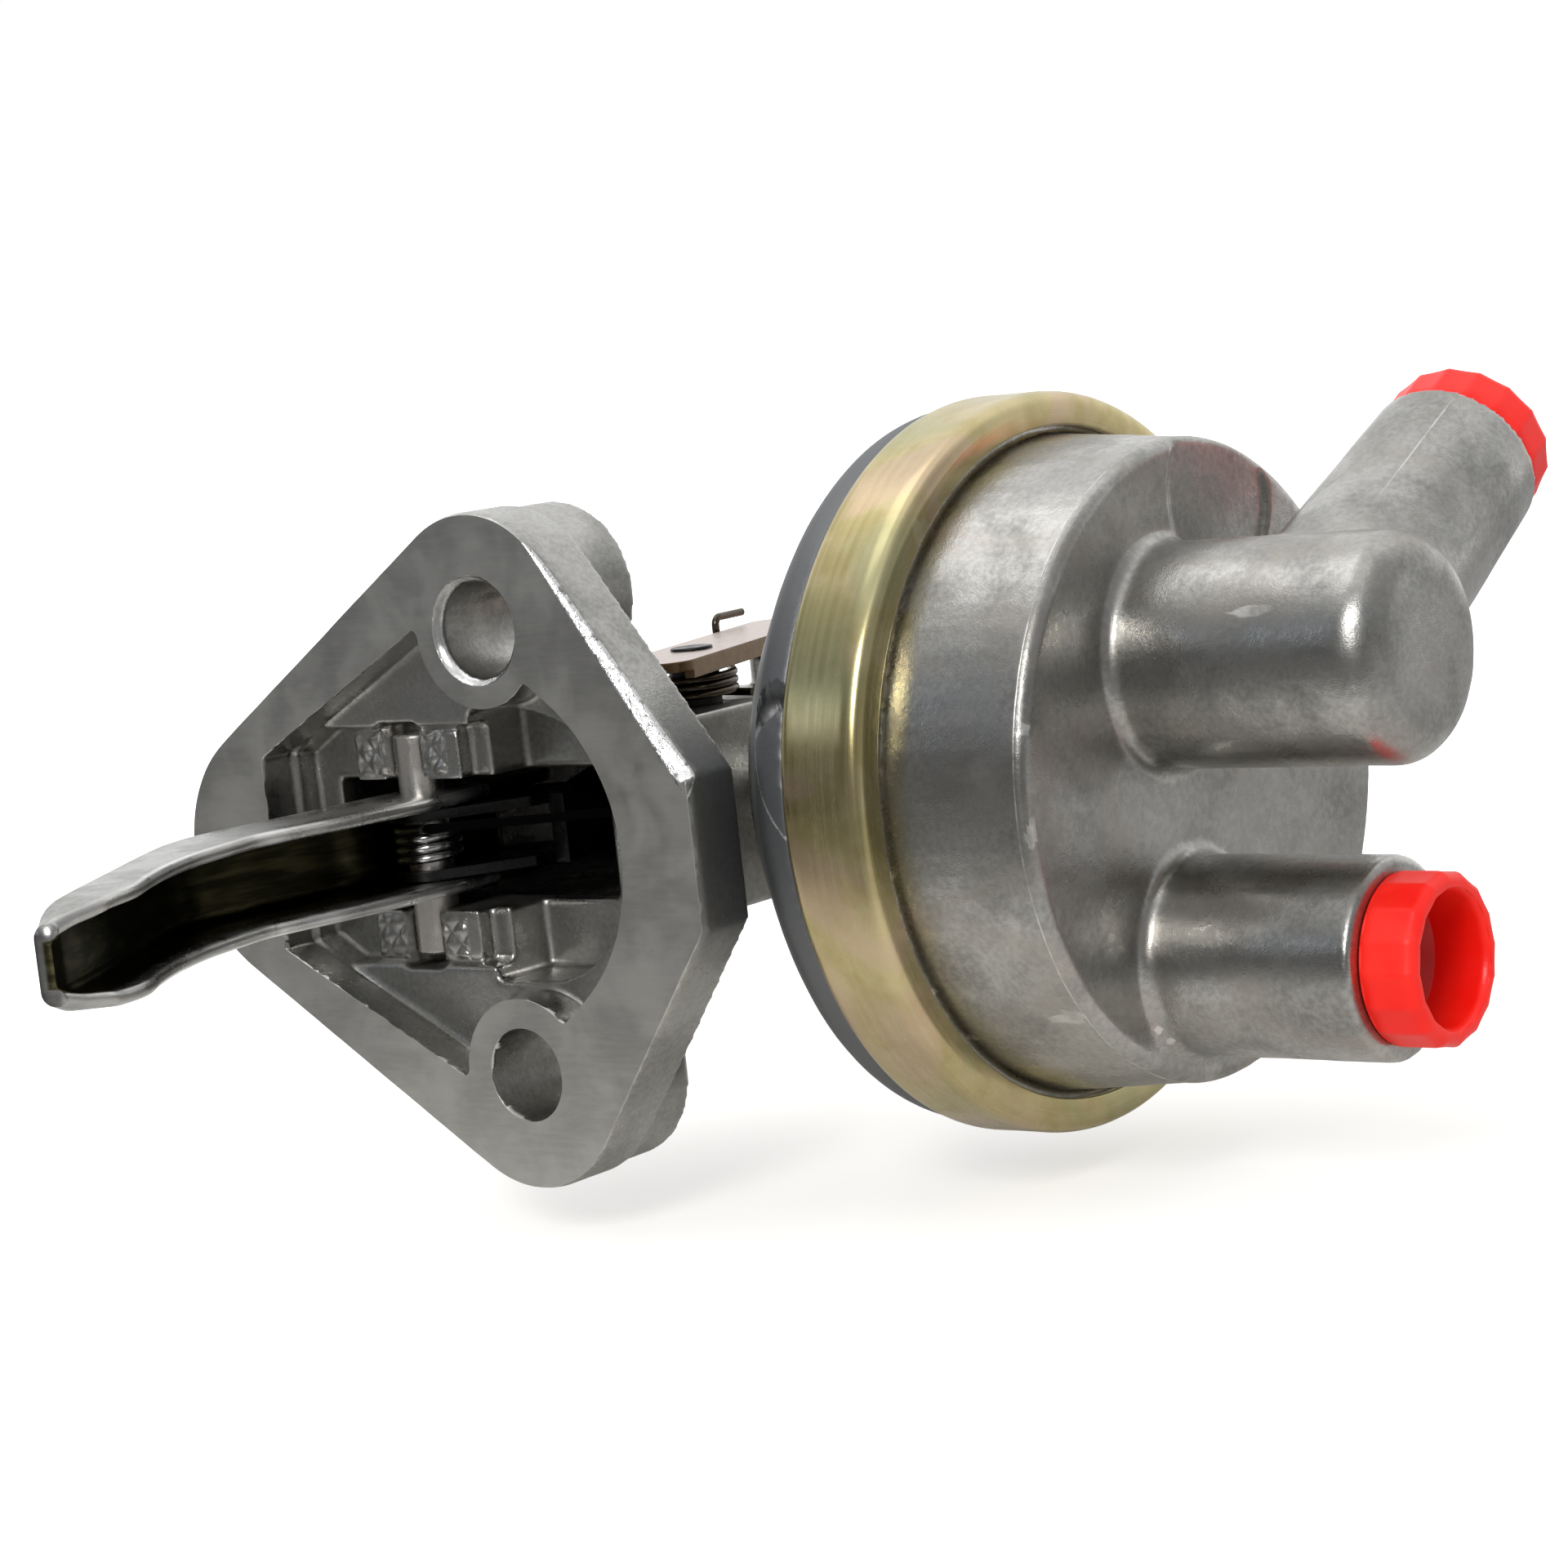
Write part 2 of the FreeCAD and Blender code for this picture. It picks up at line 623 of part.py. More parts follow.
def add_bowl(body):
    sketch = on_chamber_axis(body)
    polygon(sketch, [
        (0, -S.bowl_top_y),
        (0, -S.clamp_y),
        (S.bowl_r - S.ring_metal / 2, -S.clamp_y),
        (S.bowl_r - S.ring_metal / 2, -(S.ring_back_y + S.ring_metal + S.ring_fit)),
        (S.bowl_r - S.ring_groove, -(S.ring_back_y + S.ring_metal + S.ring_fit)),
        (S.bowl_r - S.ring_groove, -(S.ring_back_y - S.ring_fit)),
        (S.bowl_r, -(S.ring_back_y - S.ring_fit)),
        (S.bowl_r, -S.bowl_back_y),
        (S.bowl_shoulder_r, -S.bowl_shoulder_y),
        (S.bowl_top_r, -S.bowl_top_y),
    ])
    revolve(body, sketch)


def soften_bowl(body):
    corners = [(S.bowl_r, -S.bowl_back_y), (S.bowl_shoulder_r, -S.bowl_shoulder_y)]
    dress(body, "Fillet", S.bowl_round,
          lambda edge: any(is_ring(edge, radius, "y", level) for radius, level in corners))


def add_bolt_bosses(body):
    for side, height in zip((1, -1), bolt_places()):
        sketch = sketch_on(body, "YZ_Plane", (0, 0, wall_start()))
        circle(sketch, (0, height + S.bolt_boss_shift * side), S.bolt_boss_r)
        pad(body, sketch, S.bolt_boss_length - wall_start())


def cut_recess(body):
    for corners, depth in recess_levels():
        sketch = sketch_on(body, "YZ_Plane")
        outline(sketch, corners)
        pocket(body, sketch, depth, backwards=True)
    for height in bolt_places():
        sketch = sketch_on(body, "YZ_Plane")
        circle(sketch, (0, height), S.hole_wall_r)
        pad(body, sketch, S.step_depth)


def add_pin_blocks(body):
    for low, high in ((S.block_inner, S.block_outer), (-S.block_outer, -S.block_inner)):
        sketch = sketch_on(body, "YZ_Plane", (0, 0, S.block_front))
        rectangle(sketch, (S.block_near_y, low), (S.block_far_y, high))
        pad(body, sketch, S.trough_depth - S.block_front)


def cut_passage(body):
    sketch = sketch_on(body, "YZ_Plane")
    rectangle(sketch, (-S.passage_near_y, -S.block_inner), (S.passage_far_y, S.block_inner))
    pocket(body, sketch, S.passage_end, backwards=True)
    sketch = sketch_on(body, "YZ_Plane", (0, 0, S.gallery_start))
    rectangle(sketch, (-S.passage_near_y, -S.gallery_half), (S.passage_far_y, S.gallery_half))
    pocket(body, sketch, S.passage_end - S.gallery_start, backwards=True)


def cut_pin_seat(body):
    reach = S.slot_half
    sketch = sketch_on(body, "XY_Plane")
    circle(sketch, (S.pin_x, S.pin_y), S.pin_r + S.seat_fit)
    pocket(body, sketch, reach * 2, both_ways=True)
    slot = S.pin_r + S.seat_fit
    sketch = sketch_on(body, "XY_Plane")
    rectangle(sketch, (0, S.pin_y - slot), (S.pin_x, S.pin_y + slot))
    pocket(body, sketch, reach * 2, both_ways=True)
    mouth = slot + S.stake_mouth
    sketch = sketch_on(body, "XY_Plane")
    rectangle(sketch, (0, S.pin_y - mouth), (S.block_front + S.stake_length, S.pin_y + mouth))
    pocket(body, sketch, reach * 2, both_ways=True)


def drill_bolts(body):
    for height in bolt_places():
        sketch = sketch_on(body, "YZ_Plane")
        circle(sketch, (0, height), S.bolt_hole_r)
        pocket(body, sketch, S.bolt_boss_length + S.flange_thick, backwards=True)
    sketch = sketch_on(body, "YZ_Plane")
    circle(sketch, (0, S.bolt_pitch / 2), S.hole_mouth_r)
    pocket(body, sketch, S.hole_mouth_depth, backwards=True)


def hollow_chamber(body):
    wall = S.bowl_wall
    seal_top = S.bowl_top_y + wall - S.seal_length
    sketch = on_chamber_axis(body)
    polygon(sketch, [
        (0, -S.clamp_y),
        (S.bowl_room_r, -S.clamp_y),
        (S.bowl_room_r, -S.bowl_room_y),
        (S.bowl_shoulder_r - wall, -(S.bowl_shoulder_y + wall)),
        (S.bowl_top_r + wall, -(S.bowl_top_y + wall)),
        (S.seal_r + S.seat_fit, -(S.bowl_top_y + wall)),
        (S.seal_r + S.seat_fit, -seal_top),
        (S.rod_r + S.rod_fit, -seal_top),
        (S.rod_r + S.rod_fit, 0),
        (0, 0),
    ])
    groove(body, sketch)


def bore_primer(body):
    half = housing_half()
    reach = half - S.shaft_blind
    sketch = sketch_on(body, "XY_Plane", (0, 0, -reach))
    circle(sketch, (S.primer_x, -S.primer_y), S.primer_shaft_r + S.pin_fit)
    pocket(body, sketch, half * 2, backwards=True)


def add_stop_post(body):
    sketch = sketch_on(body, "XY_Plane")
    circle(sketch, (S.stop_x, -S.stop_y), S.stop_r)
    pad(body, sketch, S.primer_plate_z - S.stop_gap)


def make_body_casting():
    body = new_body("body_casting")
    add_flange(body)
    add_housing(body)
    end = far_end_of_housing().value
    dress(body, "Fillet", S.housing_round, lambda edge: abs(middle(edge).x - end) < 0.01)
    add_neck(body)
    add_bowl(body)
    soften_bowl(body)
    add_bolt_bosses(body)
    add_stop_post(body)
    cut_recess(body)
    add_pin_blocks(body)
    cut_passage(body)
    cut_pin_seat(body)
    drill_bolts(body)
    hollow_chamber(body)
    bore_primer(body)
    return body


def far_end_of_housing():
    return S.passage_end + S.housing_wall


# The cover casting with both ports

def clamped_back():
    return S.clamp_y + S.diaphragm_metal


def make_cover():
    body = new_body("cover_casting")
    sketch = on_chamber_axis(body)
    back = clamped_back()
    front = S.ring_front_y - S.ring_metal - S.ring_fit
    polygon(sketch, [
        (0, -back),
        (0, -S.cover_end_y),
        (S.cover_rim_r - S.cover_bevel, -S.cover_end_y),
        (S.cover_rim_r, -(S.cover_end_y - S.cover_bevel)),
        (S.cover_base_r, -S.ring_front_y),
        (S.cover_base_r, -front),
        (S.bowl_r - S.ring_metal / 2, -front),
        (S.bowl_r - S.ring_metal / 2, -back),
    ])
    revolve(body, sketch)
    add_dome(body)
    add_spout(body)
    add_arm(body)
    cut_end_pad(body)
    cut_cover_rooms(body)
    return body


def boss(body, place, radius, start, end):
    sketch = sketch_on(body, "XZ_Plane", (0, 0, start))
    circle(sketch, place, radius)
    return pad(body, sketch, end - start)


def add_dome(body):
    boss(body, (S.dome_x, S.dome_z), S.dome_r, S.cover_end_y - S.boss_root, S.dome_end_y)
    dress(body, "Fillet", S.dome_round, lambda edge: is_ring(edge, S.dome_r, "y", -S.dome_end_y))
    dress(body, "Fillet", S.foot_round, lambda edge: is_ring(edge, S.dome_r, "y", -S.cover_end_y))


def add_spout(body):
    boss(body, (S.spout_x, -S.spout_z), S.spout_r, S.cover_end_y - S.boss_root, S.spout_end_y)
    dress(body, "Fillet", S.cover_bevel, lambda edge: is_ring(edge, S.spout_r, "y", -S.spout_end_y))
    dress(body, "Fillet", S.foot_round, lambda edge: is_ring(edge, S.spout_r, "y", -S.cover_end_y))


def arm_direction():
    climb = math.radians(S.arm_rise.value)
    return Vector(math.cos(climb), 0, math.sin(climb))


def arm_point(distance):
    return Vector(S.dome_x.value, -S.arm_y.value, S.dome_z.value) + arm_direction() * distance


def place_on_arm(feature, distance):
    """Put a primitive on the elbow's axis, its own height along that axis."""
    feature.Placement = Placement(arm_point(distance), Rotation(Vector(0, 0, 1), arm_direction()))


def add_arm(body):
    feature = body.newObject("PartDesign::AdditiveCone", "elbow")
    place_on_arm(feature, 0)
    bind(feature, "Radius1", S.arm_root_r)
    bind(feature, "Radius2", S.arm_end_r)
    bind(feature, "Height", S.arm_length)


def cut_end_pad(body):
    sketch = sketch_on(body, "XZ_Plane", (0, 0, S.cover_end_y - S.pad_depth))
    circle(sketch, (S.pad_x, S.pad_z), S.pad_r)
    pocket(body, sketch, S.pad_depth * 2, backwards=True)


def valve_places():
    return {"outlet": (S.dome_x, S.dome_z), "inlet": (S.spout_x, -S.spout_z)}


def cut_cover_rooms(body):
    back = clamped_back()
    roof = back + S.cover_room
    sketch = on_chamber_axis(body)
    rectangle(sketch, (0, -roof), (S.cover_rim_r - S.cover_wall, -back))
    groove(body, sketch)
    for place in valve_places().values():
        sketch = sketch_on(body, "XZ_Plane", (0, 0, roof - S.cut_lap))
        circle(sketch, place, S.cage_r + S.seat_fit)
        pocket(body, sketch, S.cage_height + S.cut_lap, backwards=True)
    sketch = sketch_on(body, "XZ_Plane", (0, 0, roof + S.cut_lap))
    circle(sketch, (S.spout_x, -S.spout_z), S.port_r)
    pocket(body, sketch, S.spout_end_y - roof, backwards=True)
    sketch = sketch_on(body, "XZ_Plane", (0, 0, roof + S.cut_lap))
    circle(sketch, (S.dome_x, S.dome_z), S.port_r)
    pocket(body, sketch, S.arm_y - roof, backwards=True)
    bore = body.newObject("PartDesign::SubtractiveCylinder", "elbow_bore")
    place_on_arm(bore, 0)
    bind(bore, "Radius", S.port_r)
    bind(bore, "Height", S.arm_length + S.cut_lap)


# The crimped ring and what it clamps

def make_ring():
    metal = S.ring_metal
    body = turned("crimp_ring", [
        (S.bowl_r - S.ring_groove + S.ring_fit, -S.ring_back_y),
        (S.ring_r - metal, -S.ring_back_y),
        (S.ring_r, -(S.ring_back_y + metal)),
        (S.ring_r, -(S.ring_front_y - metal)),
        (S.ring_r - metal, -S.ring_front_y),
        (S.ring_lip_r, -S.ring_front_y),
        (S.ring_lip_r, -(S.ring_front_y - metal)),
        (S.ring_r - metal, -(S.ring_front_y - metal)),
        (S.ring_r - metal, -(S.ring_back_y + metal)),
        (S.bowl_r - S.ring_groove + S.ring_fit, -(S.ring_back_y + metal)),
    ])
    dress(body, "Fillet", S.ring_round, lambda edge: is_ring(edge, S.ring_r, "y", -(S.ring_front_y - metal)))
    return body


def make_diaphragm():
    outer = S.bowl_r - S.ring_metal / 2
    top = S.clamp_y
    bottom = clamped_back()
    inner = S.rod_r + S.seat_fit
    return turned("diaphragm", [(inner, -top), (inner, -bottom), (outer, -bottom), (outer, -top)])


def make_plates():
    """The dished plates on both sides of the diaphragm."""
    inner = S.rod_r + S.seat_fit
    metal = S.plate_metal
    for label, face, away in (("spring_plate", -S.clamp_y, 1), ("fuel_plate", -clamped_back(), -1)):
        lip = S.plate_lip * away
        turned(label, [
            (inner, face),
            (S.plate_r - S.plate_dish, face),
            (S.plate_r, face + lip),
            (S.plate_r, face + lip + metal * away),
            (S.plate_r - S.plate_dish - metal / 2, face + metal * away),
            (inner, face + metal * away),
        ])


def make_rod():
    top = S.fork_y + S.fork_metal / 2 + S.seat_gap
    bottom = clamped_back() + S.plate_metal + S.rod_foot
    turned("pull_rod", [
        (0, -bottom),
        (S.rod_foot_r, -bottom),
        (S.rod_foot_r, -(clamped_back() + S.plate_metal)),
        (S.rod_r, -(clamped_back() + S.plate_metal)),
        (S.rod_r, top),
        (S.rod_head_r, top),
        (S.rod_head_r, top + S.rod_head),
        (0, top + S.rod_head),
    ])


def make_seal():
    roof = S.bowl_top_y + S.bowl_wall
    inner = S.rod_r + S.rod_fit
    top = roof - S.seal_length + S.seat_fit
    turned("oil_seal", [(inner, -roof), (S.seal_r, -roof), (S.seal_r, -top), (inner, -top)])
    low = roof + S.retainer_metal
    bore = inner + S.retainer_gap
    turned("seal_retainer", [(bore, -low), (S.retainer_r, -low), (S.retainer_r, -roof), (bore, -roof)])


def make_diaphragm_spring():
    roof = S.bowl_top_y + S.bowl_wall + S.seat_gap + S.spring_wire_r
    floor = S.clamp_y - S.plate_metal - S.seat_gap - S.spring_wire_r
    start = Vector(S.axis_x.value, -floor.value, S.axis_z.value)
    coil("diaphragm_spring", start, Vector(0, 1, 0), S.spring_r.value, S.spring_wire_r.value,
         (floor - roof).value, S.spring_turns.value)


# The valves in the cover

def make_valves():
    roof = clamped_back() + S.cover_room
    for name, place in valve_places().items():
        opens_outwards = name == "outlet"
        make_valve(name, place, roof, opens_outwards)


def valve_sketch(body, place):
    return sketch_on(body, "XY_Plane", (place[0], 0, place[1]))


def make_valve(name, place, roof, opens_outwards):
    """A cup-shaped cage with a holed floor, the disc on that floor and the spring over the disc."""
    low, high = roof, roof + S.cage_height
    seat, lid = (low, high) if opens_outwards else (high, low)
    way = 1 if opens_outwards else -1
    metal = S.cage_metal
    cage = new_body(f"{name}_valve_cage")
    sketch = valve_sketch(cage, place)
    polygon(sketch, [
        (S.valve_seat_r, -seat),
        (S.cage_r, -seat),
        (S.cage_r, -lid),
        (S.valve_vent_r, -lid),
        (S.valve_vent_r, -(lid - metal * way)),
        (S.cage_r - metal, -(lid - metal * way)),
        (S.cage_r - metal, -(seat + metal * way)),
        (S.valve_seat_r, -(seat + metal * way)),
    ])
    revolve(cage, sketch)
    rest = seat + (metal + S.disc_fit) * way
    top = rest + S.disc_metal * way
    disc = new_body(f"{name}_valve_disc")
    sketch = valve_sketch(disc, place)
    polygon(sketch, [(0, -rest), (S.disc_r, -rest), (S.disc_r, -top), (0, -top)])
    revolve(disc, sketch)
    first = top + (S.valve_wire_r + S.seat_gap) * way
    last = lid - (metal + S.valve_wire_r + S.seat_gap) * way
    start = Vector(place[0].value, -first.value, as_size(place[1]).value)
    coil(f"{name}_valve_spring", start, Vector(0, -way, 0), S.valve_spring_r.value,
         S.valve_wire_r.value, abs((last - first).value), S.valve_turns.value)


# The rocker lever, its link, the pin and the return spring

def lever_side(sketch):
    outline(sketch, [
        (-S.lever_pad_x, S.lever_pad_y, S.lever_pad_r),
        (-S.lever_hollow_x, -S.lever_hollow_y, -S.lever_hollow_r),
        (S.pin_x, S.pin_y, S.lever_eye_r),
        (S.lever_inner_x, S.pin_y - S.lever_inner_drop, None),
        (S.lever_inner_x, S.lever_back_y, None),
        (-S.lever_bend_x, S.lever_bend_y, S.lever_bend_r),
    ])


def lever_room(sketch):
    inner = S.lever_metal
    past = -(S.lever_pad_x + S.lever_run_x)
    end = S.lever_inner_x + S.lever_opening
    outline(sketch, [
        (past, -S.lever_opening, None),
        (end, -S.lever_opening, None),
        (end, S.lever_back_y - inner, None),
        (-S.lever_bend_x, S.lever_bend_y, S.lever_bend_r - inner),
        (past, S.lever_pad_y - S.lever_run_y, None),
    ])


def make_rocker_arm():
    body = new_body("rocker_arm")
    sketch = sketch_on(body, "XY_Plane")
    lever_side(sketch)
    pad(body, sketch, S.lever_half * 2, both_ways=True)
    dress(body, "Fillet", S.bend_round, is_lever_back_edge)
    sketch = sketch_on(body, "XY_Plane")
    lever_room(sketch)
    pocket(body, sketch, (S.lever_half - S.lever_metal) * 2, both_ways=True)
    sketch = sketch_on(body, "XY_Plane")
    circle(sketch, (S.pin_x, S.pin_y), S.pin_r + S.pin_fit)
    pocket(body, sketch, S.lever_half * 3, both_ways=True)
    return body


def is_lever_back_edge(edge):
    """The long edges of the lever's web: past its middle line, on the faces of both cheeks."""
    place = middle(edge)
    if abs(abs(place.z) - S.lever_half.value) > 0.001:
        return False
    if abs(place.x - S.lever_inner_x.value) < 0.001:
        return False
    bend = -S.lever_bend_x.value
    if place.x > bend:
        return place.y > (S.pin_y + S.pin_r).value
    slope = (S.lever_bend_y - S.lever_pad_y).value / (S.lever_pad_x - S.lever_bend_x).value
    return place.y > S.lever_bend_y.value + slope * (place.x - bend)


def make_rocker_link():
    """Two cheeks on the pin and a fork that pulls the rod."""
    body = new_body("rocker_link")
    cheek = sketch_on(body, "XY_Plane")
    eye = S.link_eye_r
    low = S.fork_y - S.fork_metal / 2
    outline(cheek, [
        (S.pin_x, S.pin_y, eye),
        (S.link_elbow_x, S.link_elbow_y, None),
        (S.link_foot_x, low, None),
        (S.link_foot_x + S.link_foot, low + S.fork_metal, None),
        (S.link_back_x, S.link_back_y, S.link_back_r),
    ])
    pad(body, cheek, S.link_half * 2, both_ways=True)
    sketch = sketch_on(body, "XY_Plane")
    rectangle(sketch, (-S.pin_x, low + S.fork_metal), (S.axis_x, S.lever_back_y))
    pocket(body, sketch, (S.link_half - S.link_metal) * 2, both_ways=True)
    sketch = sketch_on(body, "XZ_Plane", (0, 0, -(low + S.fork_metal)))
    fork_outline(sketch)
    pad(body, sketch, S.fork_metal)
    sketch = sketch_on(body, "XY_Plane")
    circle(sketch, (S.pin_x, S.pin_y), S.pin_r + S.pin_fit)
    pocket(body, sketch, S.link_half * 3, both_ways=True)
    return body


def fork_outline(sketch):
    slot = S.rod_r + S.fork_gap
    end = S.axis_x + S.fork_end
    middle_z = S.axis_z
    outline(sketch, [
        (S.fork_root_x, -S.link_half, None),
        (S.fork_wide_x, middle_z - S.fork_half, None),
        (end, middle_z - S.fork_half, None),
        (end, middle_z - slot, None),
        (S.axis_x - S.fork_shift, middle_z, -slot),
        (end, middle_z + slot, None),
        (end, middle_z + S.fork_half, None),
        (S.fork_wide_x, middle_z + S.fork_half, None),
        (S.fork_root_x, S.link_half, None),
    ])


def make_pin():
    body = new_body("pivot_pin")
    sketch = sketch_on(body, "XY_Plane")
    circle(sketch, (S.pin_x, S.pin_y), S.pin_r)
    pad(body, sketch, S.pin_half * 2, both_ways=True)
    dress(body, "Chamfer", S.pin_bevel, lambda edge: isinstance(edge.Curve, Part.Circle))
    return body


def make_rocker_spring():
    """A torsion spring around the pin, one leg along the lever's web, the other on the casting."""
    wire = S.rocker_wire_r
    radius = (S.pin_r + wire + S.rocker_coil_gap).value
    half = (S.link_half - S.link_metal - wire - S.rocker_side_gap).value
    centre = Vector(S.pin_x.value, S.pin_y.value, -half)
    rest = Vector(S.rocker_leg_x.value, -(S.passage_near_y - S.seat_gap - wire).value, 0)
    run = S.rocker_run.value
    knee = Vector(S.pin_x.value - radius, S.pin_y.value - run, 0)
    back = Rotation(Vector(0, 0, 1), -90)
    tail = (run, back.multVec(rest - knee))
    coil("rocker_spring", centre, Vector(0, 0, 1), radius, wire.value, 2 * half,
         S.rocker_turns.value, S.rocker_lead.value, tail, 90)


# The priming lever above the housing

def primer_place():
    return (S.primer_x, -S.primer_y)


def make_primer_lever():
    """A flat strip on the shaft with one edge turned down, made along X from the shaft and then turned."""
    body = new_body("primer_lever")
    low = S.primer_plate_z
    half = S.primer_half
    corner = S.primer_corner
    reach = S.primer_front - corner
    sketch = sketch_on(body, "XY_Plane", (0, 0, low))
    outline(sketch, [
        (corner - S.primer_back, corner - half, corner),
        (reach, corner - half, corner),
        (reach, half - corner, corner),
        (corner - S.primer_back, half - corner, corner),
    ])
    pad(body, sketch, S.primer_metal)
    sketch = sketch_on(body, "XY_Plane", (0, 0, low))
    skirt_front = S.primer_front - S.skirt_end
    rectangle(sketch, (corner - S.primer_back, -half), (skirt_front, -(half - S.primer_metal)))
    pad(body, sketch, S.primer_skirt, backwards=True)
    sketch = sketch_on(body, "XY_Plane", (0, 0, low))
    circle(sketch, (0, 0), S.shaft_neck_r + S.seat_fit)
    pocket(body, sketch, S.primer_metal * 2, backwards=True)
    body.Placement = Placement(Vector(0, 0, 0), Rotation(Vector(0, 0, 1), S.primer_turn.value))
    bind(body, "Placement.Base.x", S.primer_x)
    bind(body, "Placement.Base.y", -S.primer_y)
    return body


def make_primer_shaft():
    """The shaft, its cam beside the pull rod and the riveted end on top."""
    body = new_body("primer_shaft")
    reach = housing_half() - S.shaft_blind - S.seat_gap
    roof = S.primer_plate_z + S.primer_metal
    for low, radius, length in (
        (-reach, S.primer_shaft_r, S.primer_plate_z + reach),
        (S.primer_plate_z, S.shaft_neck_r, S.primer_metal),
        (roof, S.shaft_head_r, S.shaft_head),
    ):
        sketch = sketch_on(body, "XY_Plane", (0, 0, low))
        circle(sketch, primer_place(), radius)
        pad(body, sketch, length)
    dress(body, "Fillet", S.shaft_head_round,
          lambda edge: is_ring(edge, S.shaft_head_r, "z", roof + S.shaft_head))
    add_cam(body)
    return body


def add_cam(body):
    turn = math.radians(S.cam_angle.value)
    x = S.primer_x + S.cam_reach * math.cos(turn)
    y = S.cam_reach * math.sin(turn) - S.primer_y
    sketch = sketch_on(body, "XY_Plane", (0, 0, S.cam_low))
    outline(sketch, [(S.primer_x, -S.primer_y, S.primer_shaft_r), (x, y, S.cam_nose_r)])
    pad(body, sketch, S.cam_width)


def make_primer_spring():
    """The torsion spring under the priming lever; its hooked end reaches over the lever's far edge."""
    wire = S.primer_wire_r
    floor = housing_half() + S.seat_gap + wire
    roof = S.primer_plate_z - S.seat_gap - wire - S.primer_gap
    centre = Vector(S.primer_x.value, -S.primer_y.value, floor.value)
    turn = math.radians(S.primer_turn.value)
    along = Vector(math.cos(turn), math.sin(turn), 0)
    across = Vector(-math.sin(turn), math.cos(turn), 0)
    beside = (S.primer_half + wire + S.primer_hook_gap).value
    hook = along * S.primer_hook_u.value + across * beside
    radius = S.primer_coil_top_r.value
    cone = math.degrees(math.atan2(radius - S.primer_coil_r.value, (roof - floor).value))
    bearing = math.atan2(hook.y, hook.x) - math.acos(radius / hook.Length)
    turns = S.primer_whole_turns.value + bearing / (2 * math.pi)
    run = math.sqrt(hook.Length ** 2 - radius ** 2)
    rise = (S.primer_plate_z + S.primer_metal + wire + S.primer_hook_rise - roof).value
    over = along * S.primer_hook_run.value - across
    coil("primer_spring", centre, Vector(0, 0, 1), S.primer_coil_r.value, wire.value,
         (roof - floor).value, turns, S.primer_lead.value, (run, Vector(0, 0, rise), over), cone=cone)


# The plastic caps in the ports

def make_spout_cap():
    body = new_body("spout_cap")
    face = S.spout_end_y + S.seat_fit
    plug_r = S.port_r - S.cap_fit
    hollow = plug_r - S.cap_skin
    sketch = sketch_on(body, "XY_Plane", (S.spout_x, 0, -S.spout_z))
    polygon(sketch, [
        (0, -(face - S.cap_plug)),
        (0, -(face - S.cap_plug + S.cap_skin)),
        (hollow, -(face - S.cap_plug + S.cap_skin)),
        (hollow, -(face + S.cap_lip)),
        (S.cap_bore_r, -(face + S.cap_grip)),
        (S.cap_grip_r - S.cap_bevel, -(face + S.cap_grip)),
        (S.cap_grip_r, -(face + S.cap_grip - S.cap_bevel)),
        (S.cap_grip_r, -face),
        (plug_r, -face),
        (plug_r, -(face - S.cap_plug)),
    ])
    revolve(body, sketch)
    sketch = sketch_on(body, "XZ_Plane", (0, 0, face - S.cap_plug + S.cap_skin / 2))
    circle(sketch, (S.spout_x, -S.spout_z), S.cap_post_r)
    pad(body, sketch, S.cap_post)
    return body


def make_arm_cap():
    """The cap on the elbow, made upright and then laid on the elbow's axis."""
    cap = doc.addObject("Part::Fuse", "arm_cap")
    cap.Label = "arm_cap"
    grip = doc.addObject("Part::Cylinder", "arm_cap_grip")
    bind(grip, "Radius", S.arm_cap_r)
    bind(grip, "Height", S.arm_cap_grip)
    bind(grip, "Placement.Base.z", S.arm_length + S.seat_fit)
    plug = doc.addObject("Part::Cylinder", "arm_cap_plug")
    bind(plug, "Radius", S.port_r - S.cap_fit)
    bind(plug, "Height", S.cap_plug + S.cut_lap)
    bind(plug, "Placement.Base.z", S.arm_length + S.seat_fit - S.cap_plug)
    cap.Base = grip
    cap.Tool = plug
    doc.recompute()
    hollow = doc.addObject("Part::Cylinder", "arm_cap_hollow")
    bind(hollow, "Radius", S.port_r - S.cap_fit - S.cap_skin)
    bind(hollow, "Height", S.cap_plug + S.arm_cap_grip)
    bind(hollow, "Placement.Base.z", S.arm_length - S.cap_plug + S.cap_skin)
    shell = doc.addObject("Part::Cut", "arm_cap_shell")
    shell.Base = cap
    shell.Tool = hollow
    cap.Label = "arm_cap_solid"
    shell.Label = "arm_cap"
    place_on_arm(shell, 0)
    return shell


def make_pump():
    make_body_casting()
    make_cover()
    make_ring()
    make_diaphragm()
    make_plates()
    make_rod()
    make_seal()
    make_diaphragm_spring()
    make_valves()
    make_rocker_arm()
    make_rocker_link()
    make_pin()
    make_rocker_spring()
    make_primer_lever()
    make_primer_shaft()
    make_primer_spring()
    make_spout_cap()
    make_arm_cap()
    doc.recompute()


def sub_parts():
    loose = [item for item in doc.Objects if item.TypeId == "PartDesign::Body" and not item.InList]
    shapes = [item for item in doc.Objects if item.TypeId == "Part::Feature"]
    springs = [item for item in shapes if item.Label.endswith("spring")]
    caps = [item for item in doc.Objects if item.Label == "arm_cap"]
    return loose + springs + caps


